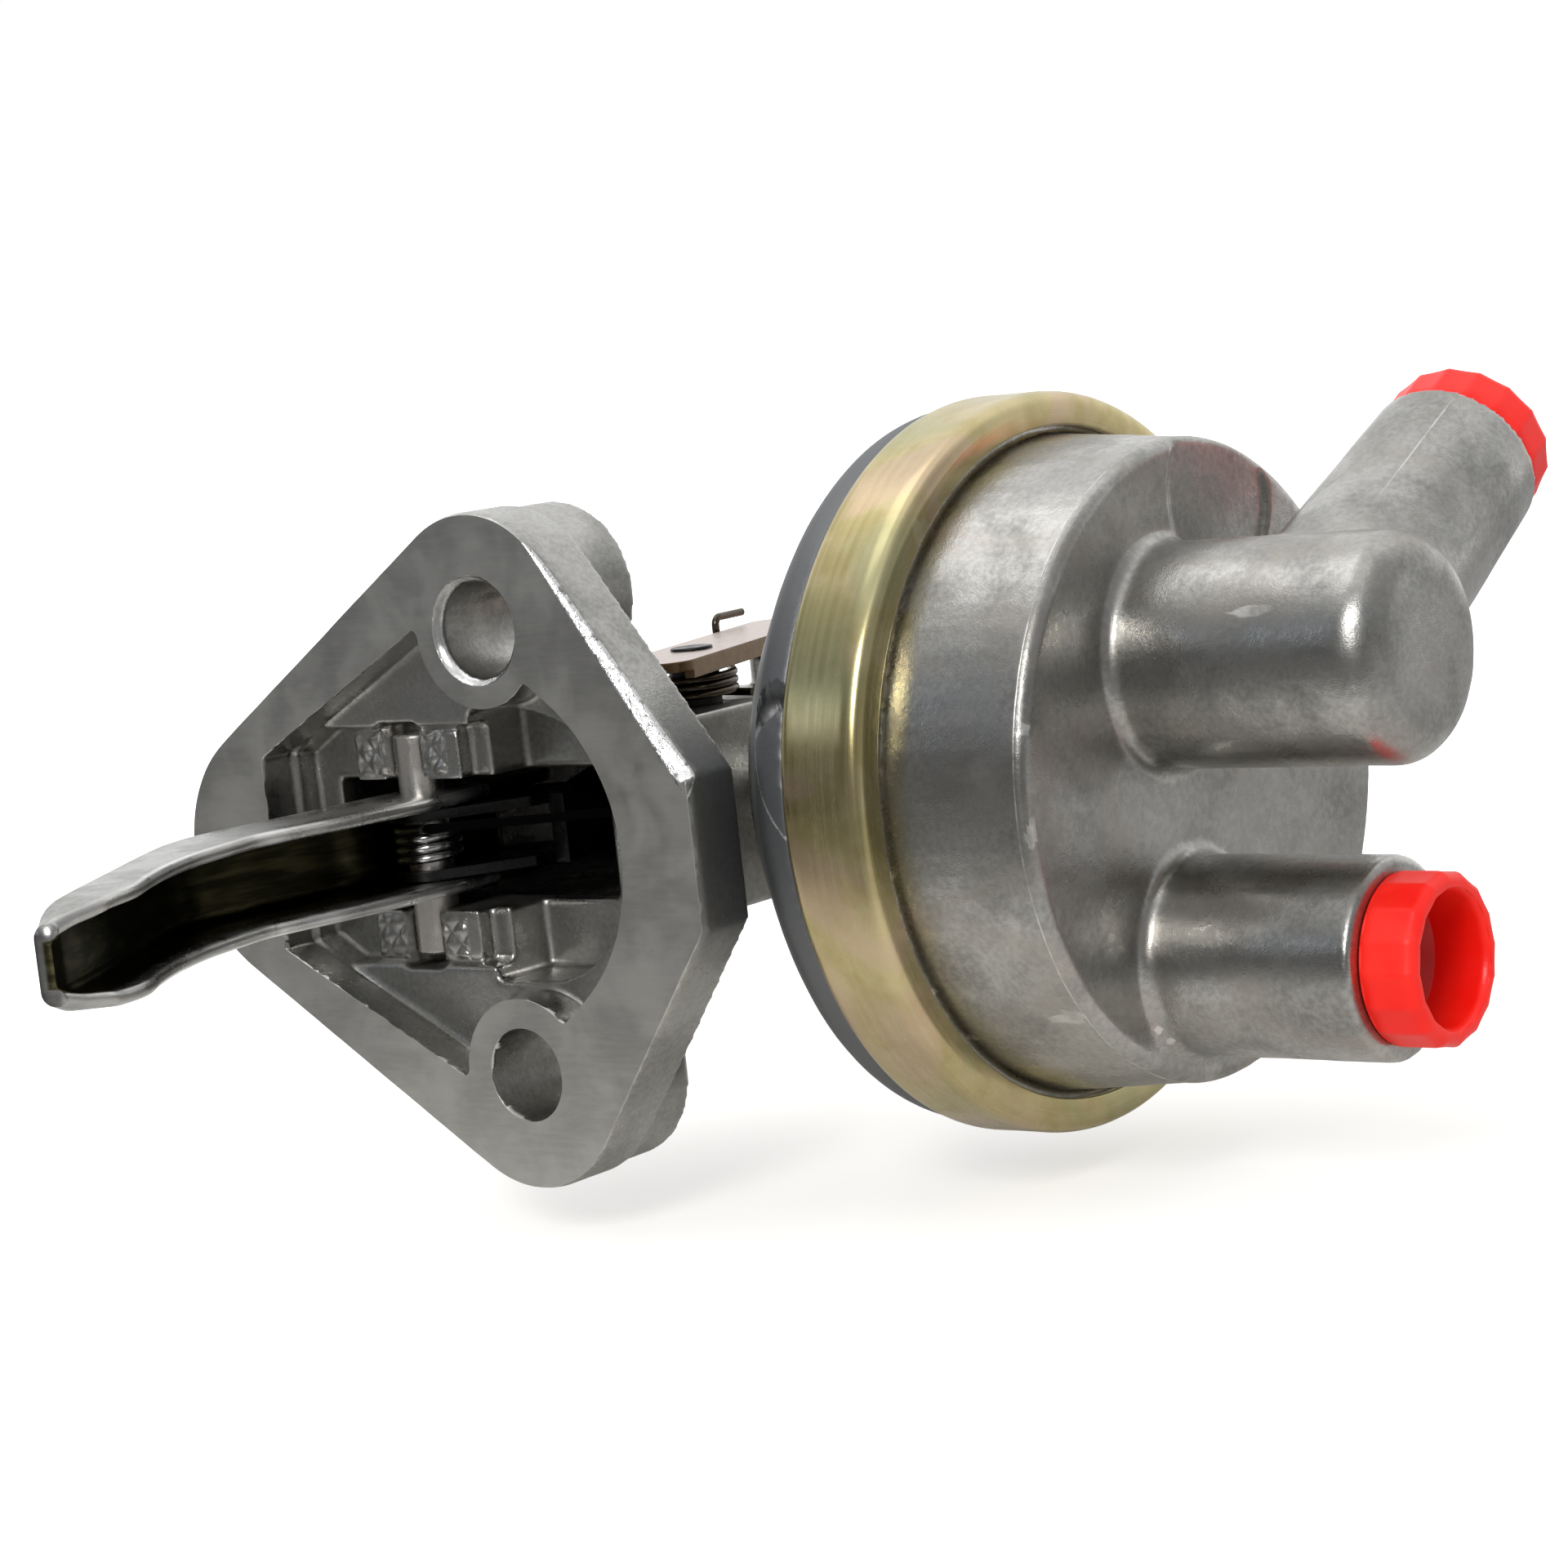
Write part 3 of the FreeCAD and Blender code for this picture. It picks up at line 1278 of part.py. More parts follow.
def check_document():
    for item in doc.Objects:
        if "Invalid" in item.State or "Error" in item.State:
            raise RuntimeError(f"{item.Label} failed: {item.State}")
    for item in sub_parts():
        if item.Shape.isNull() or not item.Shape.isValid():
            raise RuntimeError(f"{item.Label} has no valid shape")
        if len(item.Shape.Solids) != 1:
            raise RuntimeError(f"{item.Label} has {len(item.Shape.Solids)} solids")


def write_parts():
    os.makedirs("parts", exist_ok=True)
    for item in sub_parts():
        item.Shape.exportStep(os.path.join("parts", f"{item.Label}.step"))


make_pump()
check_document()
write_parts()
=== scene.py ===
import bmesh
import bpy
import json
import math
from contextlib import contextmanager
from mathutils import Matrix, Vector
from mathutils.bvhtree import BVHTree


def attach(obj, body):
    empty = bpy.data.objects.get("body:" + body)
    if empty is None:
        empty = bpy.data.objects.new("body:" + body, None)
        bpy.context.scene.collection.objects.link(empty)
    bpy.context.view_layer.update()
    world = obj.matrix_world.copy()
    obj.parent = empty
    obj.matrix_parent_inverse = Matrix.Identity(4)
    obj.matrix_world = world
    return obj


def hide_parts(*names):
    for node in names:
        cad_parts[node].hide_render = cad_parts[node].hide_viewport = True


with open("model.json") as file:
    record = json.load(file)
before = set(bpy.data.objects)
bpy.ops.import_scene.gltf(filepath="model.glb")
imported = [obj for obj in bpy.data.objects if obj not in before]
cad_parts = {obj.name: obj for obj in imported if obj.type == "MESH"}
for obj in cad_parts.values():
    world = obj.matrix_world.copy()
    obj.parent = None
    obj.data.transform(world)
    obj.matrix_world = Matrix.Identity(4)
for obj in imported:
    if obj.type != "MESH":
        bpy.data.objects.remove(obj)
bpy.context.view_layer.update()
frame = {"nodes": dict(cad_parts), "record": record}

MM = 0.001
BODY = "pump_body"
ROCKER = "rocker"

# Places on the pump, in millimetres

RING_CENTRE = (38.0, 0.0, 2.2)
UPPER_HOLE = (0.0, 0.0, 21.0)
PIVOT = (7.0, 15.9, 0.0)
STAKED_FACE_X = 5.0
BOWL_FROM_Y, BOWL_WHOLE_Y = -20.0, -26.0
SPOUT_MOUTH = (32.9, -75.4, -15.0)
ARM_START = Vector((33.0, -70.0, 12.5))
ARM_LENGTH = 30.0
ARM_RISE = math.radians(27.4)
ARM_LINE = Vector((math.cos(ARM_RISE), 0.0, math.sin(ARM_RISE)))


# Camera, floor and light

CAMERA_TURN = math.radians(-50.82)
CAMERA_RISE = math.radians(6.89)
CAMERA_ROLL = math.radians(6.32)
CAMERA_DISTANCE = 344.68
CAMERA_SHIFT = (1.13, 1.76)
CAMERA_TARGET = Vector((10.0, -25.0, 3.0))
CAMERA_LENS = 87.06
FLOOR_Z = -37.4


def place_camera():
    flat = math.cos(CAMERA_RISE)
    back = Vector((math.sin(CAMERA_TURN) * flat, -math.cos(CAMERA_TURN) * flat, math.sin(CAMERA_RISE)))
    level = Vector((math.cos(CAMERA_TURN), math.sin(CAMERA_TURN), 0.0))
    upright = back.cross(level)
    right = level * math.cos(CAMERA_ROLL) - upright * math.sin(CAMERA_ROLL)
    up = level * math.sin(CAMERA_ROLL) + upright * math.cos(CAMERA_ROLL)
    place = CAMERA_TARGET + back * CAMERA_DISTANCE + right * CAMERA_SHIFT[0] + up * CAMERA_SHIFT[1]
    data = bpy.data.cameras.new("camera")
    data.lens = CAMERA_LENS
    data.sensor_width = 36.0
    data.clip_start = 0.01
    camera = bpy.data.objects.new("camera", data)
    turn = Matrix((right, up, back)).transposed().to_4x4()
    camera.matrix_world = Matrix.Translation(place * MM) @ turn
    bpy.context.scene.collection.objects.link(camera)
    bpy.context.scene.camera = camera


def add_lamp(name, place, size, power, tint=(1.0, 1.0, 1.0)):
    """A softbox at a place in metres, aimed at the pump."""
    data = bpy.data.lights.new(name, "AREA")
    data.shape = "RECTANGLE"
    data.size, data.size_y = size
    data.energy = power
    data.color = tint
    lamp = bpy.data.objects.new(name, data)
    aim = Vector((0.03, -0.02, 0.0))
    turn = (aim - Vector(place)).to_track_quat("-Z", "Y").to_matrix().to_4x4()
    lamp.matrix_world = Matrix.Translation(Vector(place)) @ turn
    bpy.context.scene.collection.objects.link(lamp)


def white_for_sight(nodes, links, dim):
    """A value of 1 for what the camera, gloss and glass see, and the dimmer value for the rest."""
    path = nodes.new("ShaderNodeLightPath")
    first = nodes.new("ShaderNodeMath")
    first.operation = "MAXIMUM"
    links.new(path.outputs["Is Camera Ray"], first.inputs[0])
    links.new(path.outputs["Is Glossy Ray"], first.inputs[1])
    both = nodes.new("ShaderNodeMath")
    both.operation = "MAXIMUM"
    links.new(first.outputs[0], both.inputs[0])
    links.new(path.outputs["Is Transmission Ray"], both.inputs[1])
    level = nodes.new("ShaderNodeMapRange")
    level.inputs["To Min"].default_value = dim
    links.new(both.outputs[0], level.inputs["Value"])
    return level.outputs["Result"]


def light_world():
    world = bpy.data.worlds.new("studio")
    world.use_nodes = True
    nodes, links = world.node_tree.nodes, world.node_tree.links
    shade = nodes["Background"]
    shade.inputs["Color"].default_value = (1.0, 1.0, 1.0, 1.0)
    links.new(white_for_sight(nodes, links, 0.8), shade.inputs["Strength"])
    bpy.context.scene.world = world


def new_mesh(name, points, faces):
    """A mesh from points in millimetres."""
    mesh = bpy.data.meshes.new(name)
    mesh.from_pydata([Vector(point) * MM for point in points], [], faces)
    mesh.validate()
    mesh.shade_smooth()
    return mesh


def lay_floor():
    """The floor: pale near the pump and darker further out, with painted shadow towards -X; the camera sees
    it white, with a soft shadow.
    """
    mesh = bpy.data.meshes.new("floor")
    shape = bmesh.new()
    bmesh.ops.create_circle(shape, cap_ends=True, segments=96, radius=6.0)
    shape.to_mesh(mesh)
    shape.free()
    floor = bpy.data.objects.new("floor", mesh)
    floor.location.z = FLOOR_Z * MM
    bpy.context.scene.collection.objects.link(floor)
    material, w, surface = new_material("pale_floor")
    surface["Roughness"].default_value = 0.9
    surface["Specular IOR Level"].default_value = 0.1
    place = w.nodes.new("ShaderNodeTexCoord").outputs["Object"]
    reach = w.vector("LENGTH", place)
    paper = w.mix(w.noise(place, 40.0), (0.80, 0.785, 0.755, 1.0), (0.83, 0.815, 0.785, 1.0))
    # Painted shadow: towards -X the floor is darkened where the pump's own shadow falls, and extra glow
    # keeps that side white to the camera. The floor also grows darker from 0.06 to 0.24 m out.
    painted_shadow_side = w.ramp(w.split(place)[0], -0.01, -0.08, 0.0, 0.85)
    tone = w.mix(w.ramp(reach, 0.06, 0.24), paper, grey(0.45))
    w.links.new(w.mix(painted_shadow_side, tone, grey(0.12)), surface["Base Color"])
    glow = w.math("ADD", w.ramp(reach, 0.06, 0.32, 0.50, 1.4), w.math("MULTIPLY", painted_shadow_side, 0.6))
    seen = w.nodes.new("ShaderNodeLightPath").outputs["Is Camera Ray"]
    surface["Emission Color"].default_value = (1.0, 1.0, 1.0, 1.0)
    w.links.new(w.math("MULTIPLY", glow, seen), surface["Emission Strength"])
    mesh.materials.append(material)


TENT_RADIUS = 1200.0
TENT_TOP = 3000.0
WHITE_WALL = Vector((0.906, 0.423, 0.0)) / (TENT_RADIUS * MM)
DIM_CORNER = Vector((0.174, -0.985, 0.0)) / (TENT_RADIUS * MM)


def hang_tent():
    """What the metal reflects: a dim room that grows light upwards, and a white wall at the right."""
    points, faces = [], []
    around = 96
    for step in range(around):
        turn = 2 * math.pi * step / around
        for height in (FLOOR_Z + 1, TENT_TOP):
            points.append((TENT_RADIUS * math.cos(turn), TENT_RADIUS * math.sin(turn), height))
        near, far = 2 * step, 2 * ((step + 1) % around)
        faces.append((near, far, far + 1, near + 1))
    mesh = new_mesh("tent", points, faces)
    tent = bpy.data.objects.new("tent", mesh)
    material, w, surface = new_material("tent_cloth")
    place = w.nodes.new("ShaderNodeTexCoord").outputs["Object"]
    height = w.split(place)[2]
    room = w.mix(w.ramp(height, 0.30, 1.7), grey(0.13, 0.01), grey(0.72))
    cool = w.math("MULTIPLY", w.ramp(height, 0.40, 0.60), w.ramp(height, 0.95, 0.65))
    room = w.mix(w.math("MULTIPLY", cool, 0.5), room, (0.28, 0.32, 0.38, 1.0))
    corner = w.vector("DOT_PRODUCT", place, tuple(DIM_CORNER))
    room = w.mix(w.ramp(corner, 0.6, 1.0, 0.0, 0.8), room, grey(0.38))
    side = w.vector("DOT_PRODUCT", place, tuple(WHITE_WALL))
    surface["Base Color"].default_value = grey(0.0)
    w.links.new(w.mix(w.ramp(side, -0.05, 0.80), room, grey(1.0)), surface["Emission Color"])
    surface["Emission Strength"].default_value = 1.0
    surface["Roughness"].default_value = 1.0
    mesh.materials.append(material)
    tent.visible_camera = False
    tent.visible_diffuse = False
    tent.visible_shadow = False
    tent.visible_transmission = False
    bpy.context.scene.collection.objects.link(tent)


def light_studio():
    bpy.context.scene.view_settings.view_transform = "Standard"
    light_world()
    lay_floor()
    hang_tent()
    add_lamp("top_softbox", (-0.05, 0.30, 0.85), (0.6, 0.4), 0.65)
    add_lamp("key_softbox", (-0.72, -0.33, 0.46), (0.22, 0.26), 3.4, (1.0, 0.99, 0.97))
    add_lamp("window", (-0.66, 0.62, 0.33), (0.34, 0.16), 0.15, (0.80, 0.88, 1.0))


# Shared surface effects

def new_group(name, inputs, outputs):
    group = bpy.data.node_groups.new(name, "ShaderNodeTree")
    for label, kind, value in inputs:
        socket = group.interface.new_socket(label, in_out="INPUT", socket_type=f"NodeSocket{kind}")
        socket.default_value = value
    for label, kind in outputs:
        group.interface.new_socket(label, in_out="OUTPUT", socket_type=f"NodeSocket{kind}")
    entry = group.nodes.new("NodeGroupInput")
    leave = group.nodes.new("NodeGroupOutput")
    return group, entry.outputs, leave.inputs


class Wires:
    """Short ways to add linked nodes to one tree."""

    def __init__(self, tree):
        self.nodes = tree.nodes
        self.links = tree.links

    def put(self, item, socket):
        if isinstance(item, bpy.types.NodeSocket):
            self.links.new(item, socket)
        else:
            socket.default_value = item

    def math(self, operation, first, second=0.0):
        node = self.nodes.new("ShaderNodeMath")
        node.operation = operation
        self.put(first, node.inputs[0])
        self.put(second, node.inputs[1])
        return node.outputs[0]

    def vector(self, operation, first, second=(0.0, 0.0, 0.0)):
        node = self.nodes.new("ShaderNodeVectorMath")
        node.operation = operation
        self.put(first, node.inputs[0])
        self.put(second, node.inputs[1])
        single = operation in ("DOT_PRODUCT", "DISTANCE", "LENGTH")
        return node.outputs["Value"] if single else node.outputs["Vector"]

    def ramp(self, value, low, high, start=0.0, end=1.0):
        node = self.nodes.new("ShaderNodeMapRange")
        node.interpolation_type = "SMOOTHSTEP"
        self.put(value, node.inputs["Value"])
        self.put(low, node.inputs["From Min"])
        self.put(high, node.inputs["From Max"])
        self.put(start, node.inputs["To Min"])
        self.put(end, node.inputs["To Max"])
        return node.outputs["Result"]

    def mix(self, factor, first, second):
        node = self.nodes.new("ShaderNodeMix")
        node.data_type = "RGBA"
        self.put(factor, node.inputs["Factor"])
        self.put(first, node.inputs[6])
        self.put(second, node.inputs[7])
        return node.outputs[2]

    def millimetres(self):
        """The surface point in millimetres of the part's own frame."""
        place = self.nodes.new("ShaderNodeTexCoord").outputs["Object"]
        return self.vector("MULTIPLY", place, (1 / MM, 1 / MM, 1 / MM))

    def split(self, vector):
        node = self.nodes.new("ShaderNodeSeparateXYZ")
        self.links.new(vector, node.inputs[0])
        return node.outputs

    def join(self, x, y, z):
        node = self.nodes.new("ShaderNodeCombineXYZ")
        for item, socket in zip((x, y, z), node.inputs):
            self.put(item, socket)
        return node.outputs[0]

    def normal(self):
        return self.split(self.nodes.new("ShaderNodeNewGeometry").outputs["True Normal"])

    def corner(self):
        return self.nodes.new("ShaderNodeNewGeometry").outputs["Pointiness"]

    def painted(self, name):
        """A value stored on the mesh's points."""
        node = self.nodes.new("ShaderNodeAttribute")
        node.attribute_name = name
        return node.outputs["Fac"]

    def noise(self, place, scale, detail=3.0, rough=0.55, warp=0.0):
        node = self.nodes.new("ShaderNodeTexNoise")
        self.links.new(place, node.inputs["Vector"])
        self.put(scale, node.inputs["Scale"])
        node.inputs["Detail"].default_value = detail
        node.inputs["Roughness"].default_value = rough
        node.inputs["Distortion"].default_value = warp
        return node.outputs["Fac"]

    def bump(self, height, depth, before=None):
        node = self.nodes.new("ShaderNodeBump")
        node.inputs["Distance"].default_value = MM
        self.put(depth, node.inputs["Strength"])
        self.links.new(height, node.inputs["Height"])
        if before is not None:
            self.links.new(before, node.inputs["Normal"])
        return node.outputs["Normal"]

    def use(self, group, **values):
        node = self.nodes.new("ShaderNodeGroup")
        node.node_tree = group
        for label, item in values.items():
            self.put(item, node.inputs[label.replace("_", " ")])
        return node.outputs


def make_edge_wear_and_highlight():
    """How bright an edge is made, partly real wear and partly painted highlight, and the softened normal.
    """
    group, given, out = new_group("edge_wear_and_highlight", [
        ("Width", "Float", 0.4), ("Spread", "Float", 0.5)], [("Mask", "Float"), ("Normal", "Vector")])
    w = Wires(group)
    width = w.math("MULTIPLY", given["Width"], MM)
    soft = w.nodes.new("ShaderNodeBevel")
    soft.samples = 4
    w.links.new(width, soft.inputs["Radius"])
    true = w.nodes.new("ShaderNodeNewGeometry").outputs["Normal"]
    bent = w.math("SUBTRACT", 1.0, w.vector("DOT_PRODUCT", soft.outputs[0], true))
    patches = w.noise(w.millimetres(), 0.5, 4.0, 0.6)
    start = w.ramp(patches, 0.3, 0.7, 0.02, given["Spread"])
    w.links.new(w.ramp(bent, start, w.math("ADD", start, 0.12)), out["Mask"])
    w.links.new(soft.outputs[0], out["Normal"])
    return group


def make_cast_skin():
    """Die-cast aluminium: tone, roughness and the height of its fine grain."""
    group, given, out = new_group("cast_skin", [
        ("Dark", "Color", (0.3, 0.3, 0.3, 1.0)), ("Light", "Color", (0.4, 0.4, 0.4, 1.0)),
        ("Cloud Size", "Float", 9.0), ("Grain Size", "Float", 0.5),
        ("Rough Low", "Float", 0.34), ("Rough High", "Float", 0.46)],
        [("Color", "Color"), ("Roughness", "Float"), ("Height", "Float")])
    w = Wires(group)
    place = w.millimetres()
    clouds = w.noise(place, w.math("DIVIDE", 1.0, given["Cloud Size"]), 4.0, 0.55, 0.3)
    grain = w.noise(place, w.math("DIVIDE", 1.0, given["Grain Size"]), 3.0, 0.65)
    fine = w.noise(place, 7.0, 2.0, 0.5)
    soft = w.ramp(clouds, 0.3, 0.7)
    speckle = w.ramp(grain, 0.32, 0.68)
    tone = w.math("ADD", w.math("MULTIPLY", soft, 0.65), w.math("MULTIPLY", speckle, 0.35))
    w.links.new(w.mix(tone, given["Dark"], given["Light"]), out["Color"])
    rough = w.math("ADD", w.math("MULTIPLY", soft, 0.5), w.math("MULTIPLY", grain, 0.5))
    w.links.new(w.ramp(rough, 0.3, 0.7, given["Rough High"], given["Rough Low"]), out["Roughness"])
    w.links.new(w.math("ADD", w.math("MULTIPLY", grain, 0.6), w.math("MULTIPLY", fine, 0.4)), out["Height"])
    return group


def make_corner_wear_and_painted_light():
    """Bright corners, partly real wear and partly painted highlight, and painted shade in hollows, from how
    sharply a dense mesh bends.
    """
    group, given, out = new_group("corner_wear_and_painted_light", [
        ("Color", "Color", (0.4, 0.4, 0.4, 1.0)), ("Bright", "Color", (0.75, 0.75, 0.74, 1.0)),
        ("Grime", "Color", (0.10, 0.095, 0.08, 1.0)), ("Rub", "Float", 0.7), ("Dirt", "Float", 0.6)],
        [("Color", "Color"), ("Mask", "Float")])
    w = Wires(group)
    bend = w.corner()
    patches = w.noise(w.millimetres(), 0.35, 4.0, 0.6)
    # Painted highlight mixed with real wear: convex corners turn brighter in patches.
    wear_and_highlight = w.math("MULTIPLY", w.ramp(bend, 0.515, 0.57), w.ramp(patches, 0.35, 0.62, 0.25, 1.0))
    wear_and_highlight = w.math("MULTIPLY", wear_and_highlight, given["Rub"])
    # Painted shade: concave hollows turn darker.
    hollow = w.math("MULTIPLY", w.ramp(bend, 0.49, 0.44), given["Dirt"])
    lower = w.mix(hollow, given["Color"], given["Grime"])
    w.links.new(w.mix(wear_and_highlight, lower, given["Bright"]), out["Color"])
    w.links.new(wear_and_highlight, out["Mask"])
    return group


def make_tool_lines():
    """Fine lines left by a cutter or by drawing, along one direction."""
    group, given, out = new_group("tool_lines", [
        ("Along", "Vector", (1.0, 1.0, 1.0)), ("Fine", "Float", 1.0)], [("Lines", "Float")])
    w = Wires(group)
    place = w.vector("MULTIPLY", w.millimetres(), given["Along"])
    w.links.new(w.noise(place, given["Fine"], 4.0, 0.7), out["Lines"])
    return group


def make_turned_lines():
    """Fine lines that run round an axis parallel to Y."""
    group, given, out = new_group("turned_lines", [
        ("Centre", "Vector", (0.0, 0.0, 0.0)), ("Fine", "Float", 4.0)], [("Lines", "Float")])
    w = Wires(group)
    place = w.millimetres()
    flat = w.vector("MULTIPLY", place, (1.0, 0.0, 1.0))
    reach = w.vector("DISTANCE", flat, given["Centre"])
    along = w.split(place)[1]
    drift = w.math("MULTIPLY", w.noise(place, 0.05, 1.0), 0.6)
    w.links.new(w.noise(w.join(reach, along, drift), given["Fine"], 3.0, 0.7), out["Lines"])
    return group


def make_cut_face():
    """Where a surface lies on one flat cut: the mask is 1 within a few hundredths of a millimetre."""
    group, given, out = new_group("cut_face", [
        ("Facing", "Vector", (1.0, 0.0, 0.0)), ("Place", "Float", 0.0), ("Margin", "Float", 0.03)],
        [("Mask", "Float")])
    w = Wires(group)
    off = w.math("SUBTRACT", w.vector("DOT_PRODUCT", w.millimetres(), given["Facing"]), given["Place"])
    off = w.math("ABSOLUTE", off)
    w.links.new(w.ramp(off, w.math("MULTIPLY", given["Margin"], 2.0), given["Margin"]), out["Mask"])
    return group


EDGE_WEAR_AND_HIGHLIGHT = make_edge_wear_and_highlight()
CAST_SKIN = make_cast_skin()
CORNER_WEAR_AND_PAINTED_LIGHT = make_corner_wear_and_painted_light()
TOOL_LINES = make_tool_lines()
TURNED_LINES = make_turned_lines()
CUT_FACE = make_cut_face()


def new_material(name):
    material = bpy.data.materials.new(name)
    material.use_nodes = True
    return material, Wires(material.node_tree), material.node_tree.nodes["Principled BSDF"].inputs


def grey(level, warm=0.0):
    return (level * (1 + warm), level, level * (1 - warm), 1.0)


def alloy(level):
    """The slightly warm grey of the die-cast alloy."""
    return (level * 1.01, level, level * 0.955, 1.0)


# The flange's burred edge: a flat cut that widens towards the chamber's side

EDGE_START = Vector((0.0, -23.8, 7.0))
EDGE_RUN = Vector((0.0, 0.5885, 0.8085))
EDGE_OUT = Vector((0.0, -0.8085, 0.5885))
EDGE_LENGTH = 25.3
BURR_WIDE = 1.25
BURR_NARROW = 0.45


def burr_plane():
    """A point on the cut and the way that it faces."""
    first = EDGE_START - EDGE_OUT * BURR_WIDE
    side = EDGE_START + Vector((BURR_WIDE, 0.0, 0.0))
    last = EDGE_START + EDGE_RUN * EDGE_LENGTH - EDGE_OUT * BURR_NARROW
    facing = (last - first).cross(side - first).normalized()
    if facing.dot(EDGE_OUT) < 0:
        facing.negate()
    return first, facing


def cast_body_metal():
    """The main casting, with its milled face, the burred edge, the machined mouth of the upper hole with a
    painted highlight on its lower side, and painted shade on the bowl.
    """
    material, w, surface = new_material("cast_body")
    place = w.millimetres()
    x, y, z = w.split(place)
    skin = w.use(CAST_SKIN, Dark=alloy(0.31), Light=alloy(0.54), Cloud_Size=9.0, Grain_Size=0.55,
                 Rough_Low=0.25, Rough_High=0.40)
    # Painted shade: the bowl behind the ring turns a dark bluish grey, and its corners get no wear or
    # highlight.
    bowl = w.ramp(y, BOWL_FROM_Y, BOWL_WHOLE_Y)
    bowl_painted_shade = w.mix(bowl, skin["Color"], (0.20, 0.207, 0.215, 1.0))
    corner_wear_and_highlight = w.ramp(y, BOWL_WHOLE_Y, BOWL_FROM_Y, 0.0, 0.55)
    # Corners: partly real wear and partly painted highlight, with painted shade in the hollows.
    corners = w.use(CORNER_WEAR_AND_PAINTED_LIGHT, Color=bowl_painted_shade, Bright=alloy(0.70), Rub=corner_wear_and_highlight, Dirt=0.35)
    milled = w.use(CUT_FACE, Facing=(1.0, 0.0, 0.0), Place=0.0, Margin=0.03)["Mask"]
    sweep = w.use(TOOL_LINES, Along=(1.0, 0.25, 2.2), Fine=0.9)["Lines"]
    stain = w.noise(place, 0.14, 4.0, 0.6, 0.4)
    faced = w.mix(w.ramp(stain, 0.35, 0.65), alloy(0.46), alloy(0.58))
    faced = w.mix(w.ramp(sweep, 0.35, 0.7, 0.0, 0.35), faced, alloy(0.66))
    colour = w.mix(milled, corners["Color"], faced)
    point, facing = burr_plane()
    burr = w.use(CUT_FACE, Facing=tuple(facing), Place=point.dot(facing), Margin=0.05)["Mask"]
    burr = w.math("MULTIPLY", burr, w.ramp(x, 6.0, 5.0))
    torn = w.noise(place, 1.1, 4.0, 0.65, 0.8)
    scrape = w.mix(w.ramp(torn, 0.38, 0.50), grey(0.35), grey(0.98))
    colour = w.mix(burr, colour, scrape)
    # The upper hole's machined mouth is bright, with a painted highlight that is strongest on its lower
    # half and fades towards the top.
    hole = w.vector("DISTANCE", w.join(0.0, y, z), UPPER_HOLE)
    mouth_and_highlight = w.math("MULTIPLY", w.ramp(hole, 5.75, 5.65), w.ramp(x, 0.85, 0.75))
    mouth_and_highlight = w.math("MULTIPLY", mouth_and_highlight, w.ramp(x, 0.02, 0.06))
    mouth_and_highlight = w.math("MULTIPLY", mouth_and_highlight, w.ramp(z, 23.5, 21.0, 0.2, 1.0))
    colour = w.mix(mouth_and_highlight, colour, grey(0.80))
    surface["Metallic"].default_value = 1.0
    w.links.new(colour, surface["Base Color"])
    rough = w.ramp(bowl, 0.0, 1.0, skin["Roughness"], 0.5)
    rough = w.mix(milled, rough, w.ramp(stain, 0.3, 0.7, 0.40, 0.50))
    rough = w.mix(w.math("MAXIMUM", burr, mouth_and_highlight), rough, (0.24, 0.24, 0.24, 1.0))
    w.links.new(rough, surface["Roughness"])
    deep = w.math("ADD", 0.07, w.math("MULTIPLY", milled, -0.055))
    deep = w.math("ADD", deep, w.math("MULTIPLY", burr, 0.10))
    grain = w.math("ADD", skin["Height"], w.math("MULTIPLY", burr, torn))
    w.links.new(w.bump(grain, deep), surface["Normal"])
    return material


def cast_cover_metal():
    """The cover's casting, warmer in patches, with bright corners that are partly real wear and partly
    painted highlight, and painted shade in its hollows.
    """
    material, w, surface = new_material("cast_cover")
    place = w.millimetres()
    skin = w.use(CAST_SKIN, Dark=alloy(0.27), Light=alloy(0.54), Cloud_Size=8.0, Grain_Size=0.6,
                 Rough_Low=0.23, Rough_High=0.38)
    flow = w.noise(w.vector("MULTIPLY", place, (1.0, 0.35, 1.0)), 0.12, 5.0, 0.6, 0.8)
    warm = w.mix(w.ramp(flow, 0.45, 0.7, 0.0, 0.7), skin["Color"], (0.43, 0.40, 0.365, 1.0))
    # Corners: partly real wear and partly painted highlight; painted shade in the hollows.
    corners = w.use(CORNER_WEAR_AND_PAINTED_LIGHT, Color=warm, Bright=alloy(0.85), Rub=0.8, Dirt=0.35)
    surface["Metallic"].default_value = 1.0
    w.links.new(corners["Color"], surface["Base Color"])
    w.links.new(skin["Roughness"], surface["Roughness"])
    w.links.new(w.bump(skin["Height"], 0.07), surface["Normal"])
    return material


def drawn_metal(name, dark, light, along, rough=(0.22, 0.4), edge_light=grey(0.7)):
    """Steel or brass with fine lines along one direction and lighter edges, partly real wear and partly
    painted highlight.
    """
    material, w, surface = new_material(name)
    lines = w.use(TOOL_LINES, Along=along, Fine=1.6)["Lines"]
    skin = w.use(CAST_SKIN, Dark=dark, Light=light, Cloud_Size=4.0, Grain_Size=0.5,
                 Rough_Low=rough[0], Rough_High=rough[1])
    edge_wear_and_glint = w.use(EDGE_WEAR_AND_HIGHLIGHT, Width=0.25, Spread=0.25)
    surface["Metallic"].default_value = 1.0
    streaks = w.mix(w.ramp(lines, 0.3, 0.7, 0.0, 0.45), skin["Color"], light)
    # Lighter edges: partly real wear and partly painted highlight.
    w.links.new(w.mix(edge_wear_and_glint["Mask"], streaks, edge_light), surface["Base Color"])
    w.links.new(skin["Roughness"], surface["Roughness"])
    w.links.new(w.bump(lines, 0.03, edge_wear_and_glint["Normal"]), surface["Normal"])
    return material


